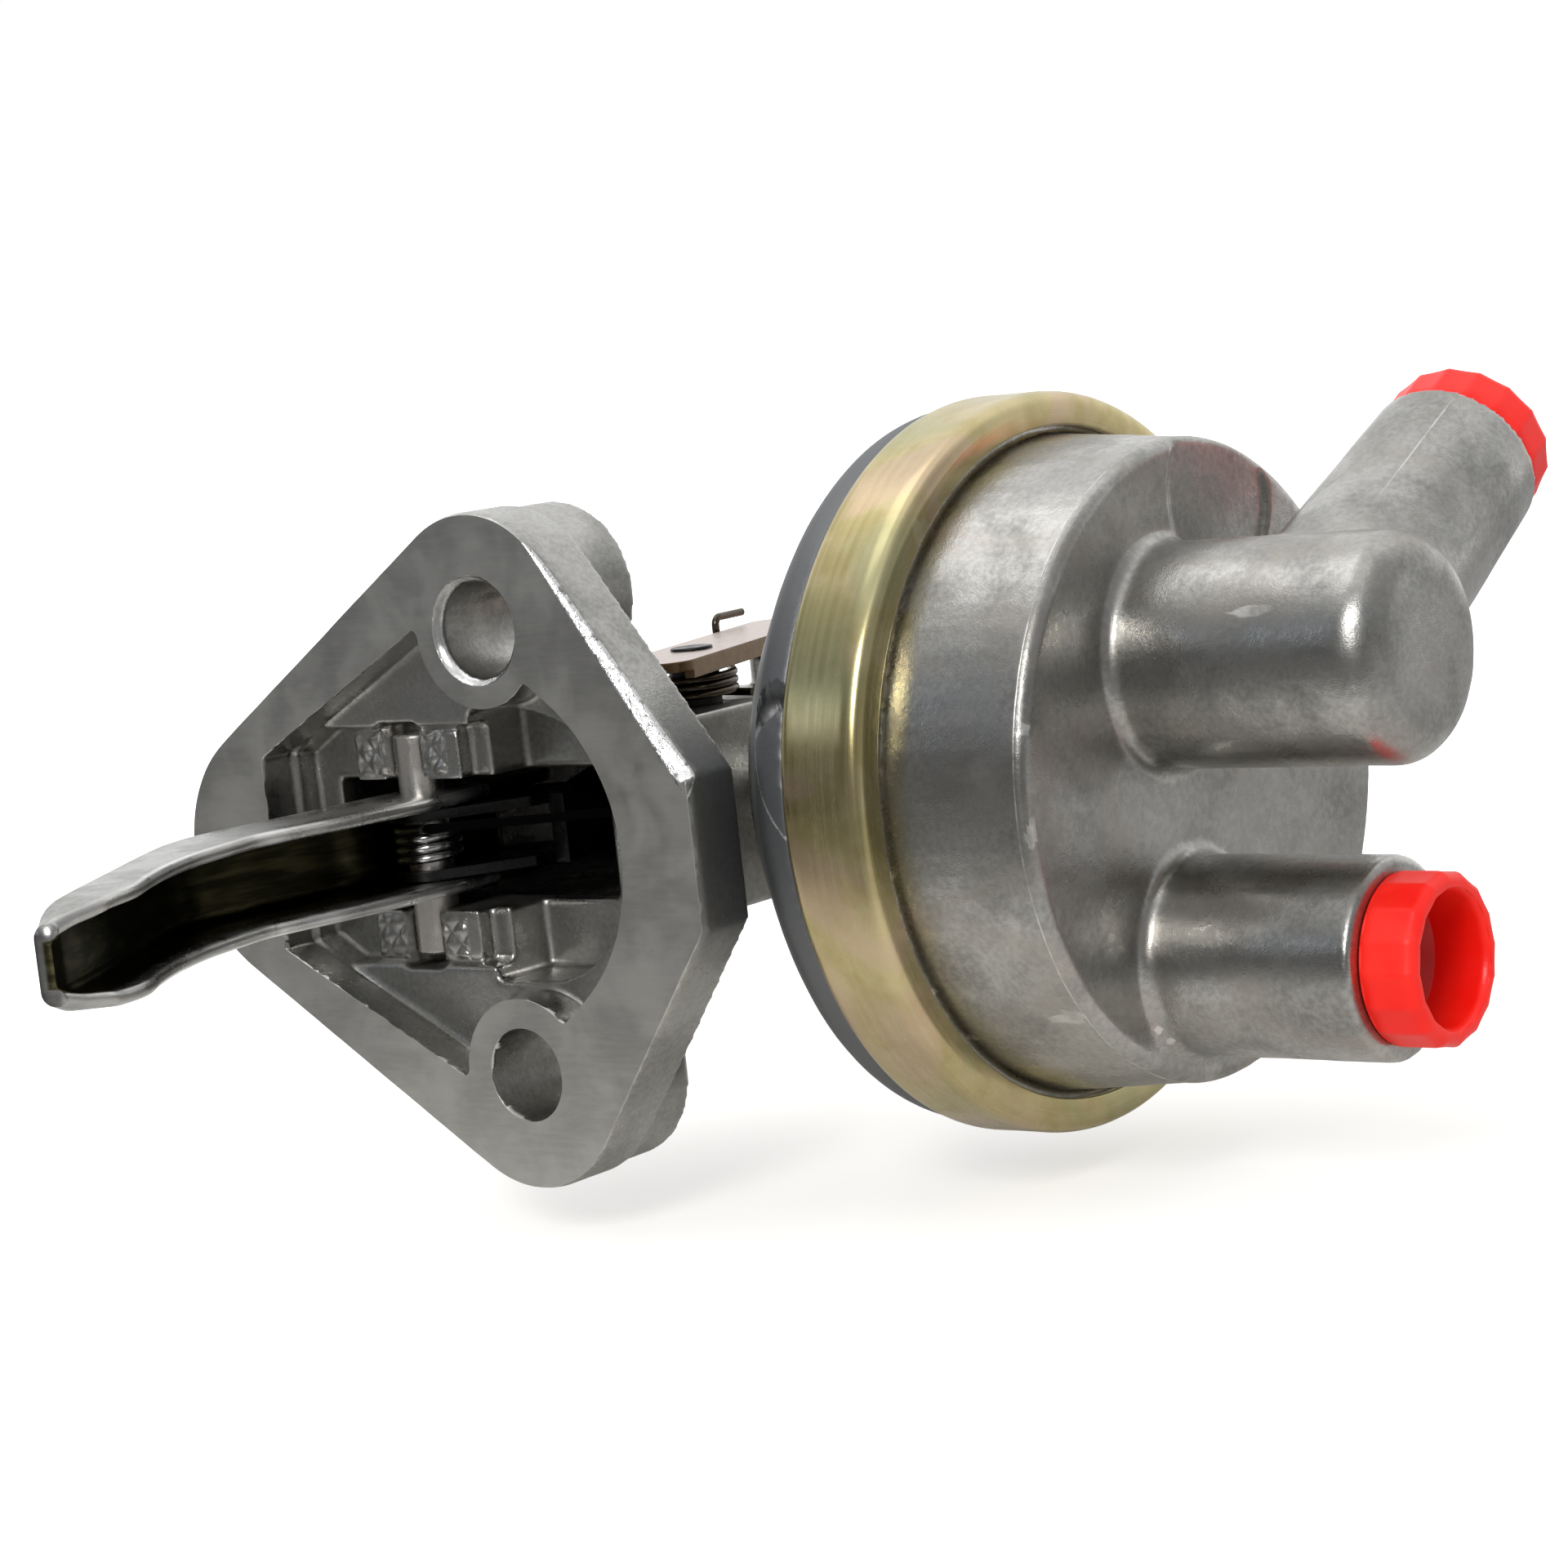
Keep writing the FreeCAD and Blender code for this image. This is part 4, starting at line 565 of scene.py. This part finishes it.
def zinc_metal():
    """Yellow passivated zinc with faint rainbow patches and lines from rolling the ring."""
    material, w, surface = new_material("zinc_yellow")
    place = w.millimetres()
    sweep = w.noise(place, 0.05, 3.0, 0.5, 1.0)
    patch = w.ramp(w.noise(place, 0.16, 4.0, 0.6), 0.35, 0.65)
    gold = w.mix(patch, (0.50, 0.42, 0.19, 1.0), (0.66, 0.56, 0.31, 1.0))
    green = w.mix(w.ramp(sweep, 0.56, 0.68, 0.0, 0.4), gold, (0.44, 0.49, 0.28, 1.0))
    rose = w.mix(w.ramp(sweep, 0.48, 0.38, 0.0, 0.6), green, (0.68, 0.50, 0.37, 1.0))
    lines = w.use(TURNED_LINES, Centre=RING_CENTRE, Fine=2.4)["Lines"]
    streak = w.mix(w.ramp(lines, 0.35, 0.65, 0.0, 0.14), rose, (0.74, 0.66, 0.42, 1.0))
    # Corners: partly real wear and partly painted highlight; painted shade in the hollows.
    corners = w.use(CORNER_WEAR_AND_PAINTED_LIGHT, Color=streak, Bright=(0.86, 0.82, 0.60, 1.0),
                    Grime=(0.13, 0.10, 0.05, 1.0), Rub=0.5, Dirt=0.6)
    w.links.new(corners["Color"], surface["Base Color"])
    surface["Metallic"].default_value = 1.0
    w.links.new(w.ramp(lines, 0.3, 0.7, 0.21, 0.29), surface["Roughness"])
    w.links.new(w.bump(lines, 0.015), surface["Normal"])
    return material


def black_rubber():
    material, w, surface = new_material("black_rubber")
    place = w.millimetres()
    clouds = w.noise(place, 0.25, 3.0, 0.5)
    w.links.new(w.mix(w.ramp(clouds, 0.3, 0.7), grey(0.015), grey(0.03)), surface["Base Color"])
    w.links.new(w.ramp(clouds, 0.3, 0.7, 0.6, 0.8), surface["Roughness"])
    w.links.new(w.bump(w.noise(place, 6.0, 2.0), 0.02), surface["Normal"])
    return material


def cap_plastic():
    """Bright red soft plastic with a faint painted glow, and painted shade deep in the hollow."""
    material, w, surface = new_material("red_plastic")
    place = w.millimetres()
    clouds = w.noise(place, 0.22, 3.0, 0.5)
    tone = w.mix(w.ramp(clouds, 0.3, 0.7), (0.94, 0.010, 0.005, 1.0), (1.0, 0.020, 0.010, 1.0))
    # Painted shade: the plastic turns darker deep in the hollow.
    tone = w.mix(w.painted("hollow"), tone, (0.50, 0.004, 0.002, 1.0))
    w.links.new(tone, surface["Base Color"])
    w.links.new(w.ramp(clouds, 0.3, 0.7, 0.30, 0.44), surface["Roughness"])
    surface["Specular IOR Level"].default_value = 0.35
    # Painted glow: a faint emission in the plastic's own colour.
    w.links.new(tone, surface["Emission Color"])
    surface["Emission Strength"].default_value = 0.05
    w.links.new(w.bump(w.noise(place, 3.0, 2.0), 0.03), surface["Normal"])
    return material


def lever_steel():
    """Grey worn steel outside, dark oil inside the channel, painted shade where the lever runs into the
    pocket, and a painted highlight on the rims that fades towards the tip.
    """
    material, w, surface = new_material("oiled_steel")
    place = w.millimetres()
    along = w.split(place)[0]
    # Painted shade: past x = 11 to 14 mm, where the lever runs into the pocket, it turns as dark as the oil
    # inside the channel.
    oil = w.math("MAXIMUM", w.painted("oil"), w.ramp(along, 11.0, 14.0))
    # Painted highlight: the rims turn pale, fainter towards the tip.
    rim = w.math("MULTIPLY", w.painted("rim"), w.ramp(along, -52.0, -28.0, 0.25, 1.0))
    lines = w.use(TOOL_LINES, Along=(0.3, 0.8, 2.4), Fine=1.3)["Lines"]
    skin = w.use(CAST_SKIN, Dark=alloy(0.30), Light=alloy(0.46), Cloud_Size=5.0, Grain_Size=0.5,
                 Rough_Low=0.26, Rough_High=0.40)
    worn = w.mix(w.ramp(lines, 0.35, 0.65, 0.0, 0.5), skin["Color"], grey(0.52))
    worn = w.mix(rim, worn, grey(0.88))
    film = w.noise(w.vector("MULTIPLY", place, (0.12, 0.4, 1.0)), 0.8, 4.0, 0.6, 0.3)
    dark = w.mix(w.ramp(film, 0.40, 0.70), (0.060, 0.057, 0.030, 1.0), (0.21, 0.185, 0.095, 1.0))
    uneven = w.noise(place, 0.35, 3.0, 0.5)
    edge = w.ramp(w.math("ADD", oil, w.math("MULTIPLY", w.math("SUBTRACT", uneven, 0.5), 0.25)), 0.35, 0.65)
    surface["Metallic"].default_value = 1.0
    w.links.new(w.mix(edge, worn, dark), surface["Base Color"])
    w.links.new(w.ramp(edge, 0.0, 1.0, skin["Roughness"], 0.22), surface["Roughness"])
    w.links.new(w.bump(w.math("ADD", lines, uneven), 0.035), surface["Normal"])
    return material


def priming_steel():
    """Pale copper-toned where the surface faces up, browner where it faces sideways or down."""
    material, w, surface = new_material("copper_steel")
    place = w.millimetres()
    lines = w.use(TOOL_LINES, Along=(0.4, 1.6, 1.0), Fine=1.2)["Lines"]
    top = w.mix(w.ramp(lines, 0.3, 0.7), (0.56, 0.46, 0.42, 1.0), (0.72, 0.62, 0.57, 1.0))
    brown = w.mix(w.noise(place, 0.8, 4.0), (0.15, 0.095, 0.05, 1.0), (0.28, 0.19, 0.11, 1.0))
    flat = w.ramp(w.normal()[2], 0.5, 0.9)
    surface["Metallic"].default_value = 1.0
    w.links.new(w.mix(flat, brown, top), surface["Base Color"])
    w.links.new(w.ramp(lines, 0.3, 0.7, 0.26, 0.4), surface["Roughness"])
    edge_wear_and_glint = w.use(EDGE_WEAR_AND_HIGHLIGHT, Width=0.2, Spread=0.25)
    w.links.new(w.bump(lines, 0.03, edge_wear_and_glint["Normal"]), surface["Normal"])
    return material


def spring_steel():
    """Brown-black wire with sharp glints; the leg inside the rocker is painted near black as shade."""
    material, w, surface = new_material("black_spring")
    place = w.millimetres()
    grain = w.noise(place, 1.4, 3.0)
    wire = w.mix(grain, (0.06, 0.048, 0.036, 1.0), (0.17, 0.14, 0.11, 1.0))
    in_rocker = w.math("LESS_THAN", w.split(place)[0], 20.0)
    wire = w.mix(in_rocker, wire, grey(0.42))
    # Painted shade: the leg inside the rocker, away from the coil, turns near black and fully rough.
    away = w.vector("DISTANCE", w.vector("MULTIPLY", place, (1.0, 1.0, 0.0)), PIVOT)
    leg_painted_shade = w.math("MULTIPLY", w.ramp(away, 3.6, 4.4), in_rocker)
    w.links.new(w.mix(leg_painted_shade, wire, grey(0.008)), surface["Base Color"])
    surface["Metallic"].default_value = 1.0
    w.links.new(w.math("MAXIMUM", w.ramp(grain, 0.3, 0.7, 0.14, 0.26), leg_painted_shade), surface["Roughness"])
    w.links.new(w.bump(grain, 0.02), surface["Normal"])
    return material


def make_materials():
    dull_steel = (0.35, 0.35, 0.35)
    return {
        "cast_body": cast_body_metal(),
        "cast_cover": cast_cover_metal(),
        "zinc_yellow": zinc_metal(),
        "black_rubber": black_rubber(),
        "bright_spring": drawn_metal("bright_spring", grey(0.16), grey(0.4), (2.0, 2.0, 2.0), (0.18, 0.32)),
        "bright_steel": drawn_metal("bright_steel", grey(0.55, 0.04), grey(0.78, 0.05), (3.0, 3.0, 0.3)),
        # Painted shade: dark_steel is near black with dark edges, so its parts sink into the shade inside
        # the rocker.
        "dark_steel": drawn_metal("dark_steel", grey(0.02), grey(0.05), dull_steel, edge_light=grey(0.05)),
        "black_spring": spring_steel(),
        "brass": drawn_metal("brass", (0.3, 0.2, 0.07, 1.0), (0.5, 0.36, 0.15, 1.0), (1.0, 0.3, 1.0)),
        "red_plastic": cap_plastic(),
        "oiled_steel": lever_steel(),
        "copper_steel": priming_steel(),
    }


def dress_nodes(materials):
    slots = {item["node"]: item["material_slot"] for item in frame["record"]["subparts"]}
    for name, node in frame["nodes"].items():
        node.data.materials.clear()
        node.data.materials.append(materials[slots[name]])
        for face in node.data.polygons:
            face.material_index = 0


# New pieces

def add_piece(name, mesh, body, slot, materials, instead_of=None):
    piece = bpy.data.objects.new(name, mesh)
    bpy.context.scene.collection.objects.link(piece)
    mesh.materials.clear()
    mesh.materials.append(materials[slot])
    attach(piece, body)
    if instead_of:
        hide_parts(instead_of)
    return piece


def finished_mesh(piece):
    """The mesh with its modifiers applied."""
    graph = bpy.context.evaluated_depsgraph_get()
    mesh = bpy.data.meshes.new_from_object(piece.evaluated_get(graph))
    bpy.data.objects.remove(piece)
    return mesh


@contextmanager
def reshaped(mesh):
    """The mesh open for changes, which are written back to it."""
    shape = bmesh.new()
    shape.from_mesh(mesh)
    yield shape
    shape.to_mesh(mesh)
    shape.free()


def welded_copy(node):
    shape = bmesh.new()
    shape.from_mesh(frame["nodes"][node].data)
    bmesh.ops.remove_doubles(shape, verts=shape.verts, dist=2e-6)
    return shape


def placed_blank(name, mesh):
    blank = bpy.data.objects.new(name, mesh)
    bpy.context.scene.collection.objects.link(blank)
    return blank


def cast_again(name, shape, grain, wave):
    """Melt the corners of a shape: even cells, a few smoothing passes and a slight waviness."""
    mesh = bpy.data.meshes.new(name)
    shape.to_mesh(mesh)
    shape.free()
    blank = placed_blank(name, mesh)
    cells = blank.modifiers.new("cells", "REMESH")
    cells.mode = "VOXEL"
    cells.voxel_size = grain * MM
    cells.use_smooth_shade = True
    smooth = blank.modifiers.new("smooth", "SMOOTH")
    smooth.factor = 0.5
    smooth.iterations = 3
    swell = bpy.data.textures.new(f"{name}_swell", "CLOUDS")
    swell.noise_scale = 5.5 * MM
    uneven = blank.modifiers.new("uneven", "DISPLACE")
    uneven.texture = swell
    uneven.texture_coords = "LOCAL"
    uneven.strength = wave * MM
    uneven.mid_level = 0.5
    return finished_mesh(blank)


def thinned(name, mesh, share):
    """The same shape with only a share of its faces and no sliver faces."""
    blank = placed_blank(name, mesh)
    blank.modifiers.new("thin", "DECIMATE").ratio = share
    mesh = finished_mesh(blank)
    with reshaped(mesh) as shape:
        bmesh.ops.remove_doubles(shape, verts=shape.verts, dist=0.06 * MM)
        bmesh.ops.dissolve_degenerate(shape, edges=shape.edges, dist=0.03 * MM)
    return mesh


def cut_flat(shape, point, facing):
    """Cut off what lies beyond a plane and close the cut."""
    geometry = list(shape.faces) + list(shape.edges) + list(shape.verts)
    cut = bmesh.ops.bisect_plane(shape, geom=geometry, dist=1e-7, plane_co=Vector(point) * MM,
                                 plane_no=facing, clear_outer=True)
    rims = [item for item in cut["geom_cut"] if isinstance(item, bmesh.types.BMEdge)]
    filled = bmesh.ops.triangle_fill(shape, use_beauty=True, use_dissolve=False, edges=rims, normal=facing)
    lids = [item for item in filled["geom"] if isinstance(item, bmesh.types.BMFace)]
    for lid in lids:
        lid.smooth = False
        if lid.normal.dot(facing) < 0:
            lid.normal_flip()


SCRAPE_SPARE = 8.0
SCRAPE_X = 6.0


def scrape_edge(mesh):
    """Press the points beyond the burr's plane back onto it, along the scraped length only."""
    point, facing = burr_plane()
    for vert in mesh.vertices:
        place = vert.co / MM
        along = (place - EDGE_START).dot(EDGE_RUN)
        beyond = (place - point).dot(facing)
        if beyond > 0 and 0 < along < EDGE_LENGTH + SCRAPE_SPARE and place.x < SCRAPE_X:
            vert.co -= facing * beyond * MM


FACE_SPARE = 1.5


def make_body(materials):
    """The main casting with melted corners, its mounting face milled flat again and its edge burred."""
    shape = welded_copy("body_casting")
    for vert in shape.verts:
        if vert.co.x < 0.01 * MM:
            vert.co.x = -FACE_SPARE * MM
    mesh = cast_again("body_casting_skin", shape, 0.36, 0.10)
    scrape_edge(mesh)
    mesh = thinned("body_casting_skin", mesh, 0.36)
    with reshaped(mesh) as shape:
        cut_flat(shape, (0.0, 0.0, 0.0), Vector((-1.0, 0.0, 0.0)))
    add_piece("body_casting_skin", mesh, BODY, "cast_body", materials, "body_casting")


def make_cover(materials):
    """The cover's casting with melted corners; the mesh is given back for its seams."""
    mesh = cast_again("cover_casting_skin", welded_copy("cover_casting"), 0.34, 0.12)
    mesh = thinned("cover_casting_skin", mesh, 0.38)
    add_piece("cover_casting_skin", mesh, BODY, "cast_cover", materials, "cover_casting")
    return mesh


def turned_mesh(name, profile, place, axis, around, shape_radius=None):
    """A closed profile of (radius, distance along the axis) turned round the axis."""
    axis = Vector(axis).normalized()
    side = axis.orthogonal().normalized()
    other = axis.cross(side)
    points, faces = [], []
    count = len(profile)
    for step in range(around):
        turn = 2 * math.pi * step / around
        out = side * math.cos(turn) + other * math.sin(turn)
        for index, (radius, along) in enumerate(profile):
            reach = shape_radius(index, radius, turn) if shape_radius else radius
            points.append(Vector(place) + axis * along + out * reach)
        here, there = step * count, ((step + 1) % around) * count
        for index in range(count):
            following = (index + 1) % count
            faces.append((here + index, here + following, there + following, there + index))
    mesh = new_mesh(name, points, faces)
    with reshaped(mesh) as shape:
        bmesh.ops.recalc_face_normals(shape, faces=shape.faces)
    return mesh


def rounded_profile(corners, steps):
    """Corners of (radius, along, rounding) as one closed line with arcs at its corners."""
    line = []
    count = len(corners)
    for index, (radius, along, rounding) in enumerate(corners):
        here = Vector((radius, along))
        before = Vector(corners[index - 1][:2]) - here
        after = Vector(corners[(index + 1) % count][:2]) - here
        if rounding <= 0:
            line.append(tuple(here))
            continue
        start = here + before.normalized() * min(rounding, before.length * 0.48)
        end = here + after.normalized() * min(rounding, after.length * 0.48)
        for step in range(steps + 1):
            t = step / steps
            point = start * (1 - t) ** 2 + here * 2 * t * (1 - t) + end * t ** 2
            line.append(tuple(point))
    return line


def make_ring(materials):
    """The rolled ring: a slightly crowned band, a round front corner and lips that grip both castings."""
    corners = [
        (33.2, 31.5, 0.2), (34.95, 31.5, 1.3), (34.90, 36.0, 2.0), (34.95, 40.25, 2.6),
        (31.6, 40.25, 0.25), (31.6, 39.45, 0.2), (34.1, 39.45, 0.3), (34.1, 32.3, 0.3), (33.2, 32.3, 0.2)]
    profile = rounded_profile(corners, 7)
    mesh = turned_mesh("crimp_ring_rolled", profile, RING_CENTRE, (0.0, -1.0, 0.0), 240)
    add_piece("crimp_ring_rolled", mesh, BODY, "zinc_yellow", materials, "crimp_ring")


def faceted(sides, depth, first, last):
    """Flat facets on part of a turned profile."""
    def reach(index, radius, turn):
        if not first <= index <= last:
            return radius
        within = (turn * sides / (2 * math.pi)) % 1.0 - 0.5
        flat = math.cos(math.pi / sides) / math.cos(within * 2 * math.pi / sides)
        return radius * (1 - depth * (1 - flat))
    return reach


CAP_PLUG_R = 5.55
CAP_HOLLOW_R = 6.0
CAP_FLOOR = -6.5


def paint_hollow(mesh, place, axis, grip):
    """Store how deep each point lies in the cap's hollow, for painted shade that darkens the plastic there.
    """
    hollow = mesh.attributes.new("hollow", "FLOAT", "POINT")
    line = Vector(axis).normalized()
    for index, vert in enumerate(mesh.vertices):
        off = vert.co / MM - Vector(place)
        along = off.dot(line)
        within = (off - line * along).length < CAP_HOLLOW_R + 0.2
        hollow.data[index].value = min(1.0, max(0.0, (grip - 0.3 - along) / 5.0)) if within else 0.0


def make_cap(name, node, place, axis, grip_r, grip, materials, with_post):
    """A push-in plastic cap: plug, grip with broad flats, a round rim and a deep hollow."""
    corners = [
        (0.0, -9.0, 0.0), (CAP_PLUG_R, -9.0, 0.5), (CAP_PLUG_R, 0.05, 0.0), (grip_r - 0.15, 0.05, 0.3),
        (grip_r, 0.9, 0.4), (grip_r, grip - 0.7, 0.5), (grip_r - 0.6, grip, 0.4),
        (CAP_HOLLOW_R + 0.35, grip, 0.3), (CAP_HOLLOW_R, grip - 0.6, 0.4),
        (CAP_HOLLOW_R - 0.5, CAP_FLOOR, 0.6), (0.0, CAP_FLOOR, 0.0)]
    profile = rounded_profile(corners, 5)
    outer = [index for index, (radius, along) in enumerate(profile)
             if radius > grip_r - 1.5 and along > 0.2]
    ribs = faceted(16, 1.3, min(outer), max(outer))
    mesh = turned_mesh(name, profile, place, axis, 144, ribs)
    with reshaped(mesh) as shape:
        if with_post:
            foot, tip = CAP_FLOOR - 0.2, CAP_FLOOR + 6.6
            post = [(0.0, foot, 0.0), (1.1, foot, 0.0), (0.75, tip, 0.4), (0.0, tip, 0.0)]
            extra = turned_mesh("post", rounded_profile(post, 4), place, axis, 24)
            shape.from_mesh(extra)
            bpy.data.meshes.remove(extra)
        bmesh.ops.remove_doubles(shape, verts=shape.verts, dist=1e-6)
        bmesh.ops.recalc_face_normals(shape, faces=shape.faces)
    paint_hollow(mesh, place, axis, grip)
    add_piece(name, mesh, BODY, "red_plastic", materials, node)


def make_caps(materials):
    make_cap("spout_cap_ribbed", "spout_cap", SPOUT_MOUTH, (0.0, -1.0, 0.0), 7.85, 5.4, materials, True)
    make_cap("arm_cap_ribbed", "arm_cap", ARM_START + ARM_LINE * ARM_LENGTH, ARM_LINE, 7.9, 4.75,
             materials, False)


# The lever: a pressed channel swept along its back, given as (x, y), with its open edge at
# another y and half its width at the same places

LEVER_BACK = [(-53.0, 3.5), (-51.5, 4.8), (-49.0, 6.9), (-45.0, 9.3), (-40.0, 12.3), (-35.0, 15.3),
              (-30.0, 18.3), (-26.0, 20.6), (-22.5, 22.3), (-19.0, 23.3), (-15.5, 23.5), (-11.0, 23.1),
              (-4.0, 22.4), (6.0, 21.8), (14.0, 21.6), (22.0, 21.6)]
LEVER_OPEN = [2.1, 1.9, 2.0, 3.3, 6.6, 9.6, 11.9, 13.0, 13.6, 13.9, 13.8, 13.2, 12.0, 11.3, 12.3, 12.7]
LEVER_HALF = [3.5, 4.25, 4.75] + [4.9] * 13
LEVER_METAL = 1.35


def spline_points(rows, count):
    """Even points on a smooth line through rows of numbers."""
    result = []
    last = len(rows) - 1
    for step in range(count + 1):
        place = step * last / count
        index = min(int(place), last - 1)
        t = place - index
        ring = [rows[max(index - 1, 0)], rows[index], rows[index + 1], rows[min(index + 2, last)]]
        values = []
        for a, b, c, d in zip(*ring):
            values.append(0.5 * (2 * b + (c - a) * t + (2 * a - 5 * b + 4 * c - d) * t * t
                                 + (3 * b - a - 3 * c + d) * t ** 3))
        result.append(values)
    return result


def lever_section(half, depth, bend):
    """Half of the channel's outline from near its open edge round to its back, as (z, down)."""
    line = [(half, depth)]
    steps = 6
    for step in range(steps + 1):
        turn = math.pi / 2 * step / steps
        line.append((half - bend + bend * math.cos(turn), bend - bend * math.sin(turn)))
    return line


def lever_loop(half, depth):
    """The channel's closed outline as (z, down, oil, rim): rounded rims marked for a painted highlight,
    dark oil inside.
    """
    bend = min(1.9, depth * 0.6, half * 0.5)
    round_end = LEVER_METAL / 2
    outer = lever_section(half, depth - round_end, bend)
    inner = lever_section(half - LEVER_METAL, depth - LEVER_METAL - round_end, max(bend - 0.7, 0.5))
    inner = [(z, down + LEVER_METAL) for z, down in inner]
    rim = []
    for step in range(1, 7):
        turn = math.pi * step / 7
        rim.append((half - round_end + round_end * math.cos(turn),
                    depth - round_end + round_end * math.sin(turn)))
    loop = [(z, down, 0.0, 0.0) for z, down in outer]
    loop += [(-z, down, 0.0, 0.0) for z, down in reversed(outer)]
    loop += [(-z, down, 0.0, 1.0) for z, down in rim]
    oily = [0.3] + [1.0] * (len(inner) - 1)
    loop += [(-z, down, oil, 0.0) for (z, down), oil in zip(inner, oily)]
    loop += [(z, down, oil, 0.0) for (z, down), oil in zip(reversed(inner), reversed(oily))]
    loop += [(z, down, 0.0, 1.0) for z, down in reversed(rim)]
    return loop


def make_lever(materials):
    rows = [back + (opening, half) for back, opening, half in zip(LEVER_BACK, LEVER_OPEN, LEVER_HALF)]
    stations = spline_points(rows, 110)
    points, faces, oil, rim = [], [], [], []
    for index, (back_x, back_y, open_y, half) in enumerate(stations):
        ahead = stations[min(index + 1, len(stations) - 1)]
        behind = stations[max(index - 1, 0)]
        run = Vector((ahead[0] - behind[0], ahead[1] - behind[1])).normalized()
        inward = Vector((run.y, -run.x))
        depth = max((back_y - open_y) / max(0.35, -inward.y), 1.5 * LEVER_METAL + 0.02)
        loop = lever_loop(half, depth)
        # The fourth value marks the rims for the painted highlight.
        for z, down, oily, worn in loop:
            points.append((back_x + inward.x * down, back_y + inward.y * down, z))
            oil.append(oily)
            rim.append(worn)
        count = len(loop)
        if index:
            here, there = (index - 1) * count, index * count
            for step in range(count):
                following = (step + 1) % count
                faces.append((here + step, here + following, there + following, there + step))
    faces.append(tuple(range(count)))
    faces.append(tuple(reversed(range(len(points) - count, len(points)))))
    mesh = new_mesh("rocker_arm_pressed", points, faces)
    with reshaped(mesh) as shape:
        bmesh.ops.triangulate(shape, faces=[face for face in shape.faces if len(face.verts) > 4])
        bmesh.ops.recalc_face_normals(shape, faces=shape.faces)
    for name, values in (("oil", oil), ("rim", rim)):
        painted = mesh.attributes.new(name, "FLOAT", "POINT")
        painted.data.foreach_set("value", values)
    add_piece("rocker_arm_pressed", mesh, ROCKER, "oiled_steel", materials, "rocker_arm")


# Small marks on the castings

def stake_patch(low, high, columns, rows):
    """A block face upset by a knurled punch: crossed ridges that fade out at the patch's edge."""
    points, faces = [], []
    for row in range(rows + 1):
        for column in range(columns + 1):
            u, v = column / columns, row / rows
            y = low[0] + (high[0] - low[0]) * u
            z = low[1] + (high[1] - low[1]) * v
            worn = 0.75 + 0.25 * math.sin(1.7 * y + 0.9 * z) * math.sin(1.1 * z - 0.6 * y)
            ridges = abs(math.sin((y + z * 1.15) * 1.35 + 0.3 * math.sin(z)))
            ridges *= abs(math.sin((y - z) * 1.2 + 0.4))
            border = min(1.0, 9 * u * (1 - u)) * min(1.0, 9 * v * (1 - v))
            raised = -0.03 + (0.10 + 0.42 * worn * ridges) * border
            points.append((STAKED_FACE_X - raised, y, z))
    for row in range(rows):
        for column in range(columns):
            here = row * (columns + 1) + column
            faces.append((here, here + columns + 1, here + columns + 2, here + 1))
    return points, faces


STAKED_Y = ((18.3, 22.3), (10.0, 13.5))
STAKED_Z = ((6.7, 11.2), (-11.2, -6.7))


def make_stakes(materials):
    """The punch marks on both sides of the pin, above and below the lever."""
    points, faces = [], []
    for low, high in [tuple(zip(y, z)) for z in STAKED_Z for y in STAKED_Y]:
        more_points, more_faces = stake_patch(low, high, 36, 40)
        start = len(points)
        points += more_points
        faces += [tuple(start + index for index in face) for face in more_faces]
    mesh = new_mesh("stake_marks", points, faces)
    add_piece("stake_marks", mesh, BODY, "cast_body", materials)


COVER_SEAM_CENTRE = Vector((RING_CENTRE[0], -53.2, RING_CENTRE[2]))
ARM_SEAM_START = 11.5
ARM_SEAM_LENGTH = 17.5


def seam_mesh(name, mesh, rays, width):
    """A thin raised line laid on a casting where each ray meets it."""
    corners = [vert.co for vert in mesh.vertices]
    tree = BVHTree.FromPolygons(corners, [face.vertices[:] for face in mesh.polygons])
    hits = []
    for start, aim in rays:
        place, normal, _, _ = tree.ray_cast(Vector(start) * MM, Vector(aim).normalized(), 0.12)
        if place is not None:
            hits.append((place / MM, normal))
    points, faces = [], []
    for index, (place, normal) in enumerate(hits):
        ahead = hits[min(index + 1, len(hits) - 1)][0]
        behind = hits[max(index - 1, 0)][0]
        side = (ahead - behind).cross(normal).normalized()
        fade = min(1.0, index / 4, (len(hits) - 1 - index) / 4)
        points += [place - side * width - normal * 0.05, place + normal * width * 0.55 * fade,
                   place + side * width - normal * 0.05]
        if index:
            here = 3 * index
            faces += [(here - 3, here - 2, here + 1, here), (here - 2, here - 1, here + 2, here + 1)]
    return new_mesh(name, points, faces)


def make_seams(cover, materials):
    """The mould's parting lines along the arm and round the end of the cover."""
    up = Vector((-math.sin(ARM_RISE), -0.42, math.cos(ARM_RISE))).normalized()
    arm = []
    for step in range(70):
        base = ARM_START + ARM_LINE * (ARM_SEAM_START + ARM_SEAM_LENGTH * step / 69)
        arm.append((base + up * 30, -up))
    ring = []
    for step in range(241):
        turn = 2 * math.pi * step / 240
        out = Vector((math.cos(turn), 0.0, math.sin(turn)))
        ring.append((COVER_SEAM_CENTRE + out * 50, -out))
    for name, line, width in (("arm_seam", arm, 0.16), ("cover_seam", ring, 0.14)):
        add_piece(name, seam_mesh(name, cover, line, width), BODY, "cast_cover", materials)


place_camera()
light_studio()
finishes = make_materials()
dress_nodes(finishes)
make_body(finishes)
cover_mesh = make_cover(finishes)
make_ring(finishes)
make_caps(finishes)
make_lever(finishes)
make_stakes(finishes)
make_seams(cover_mesh, finishes)
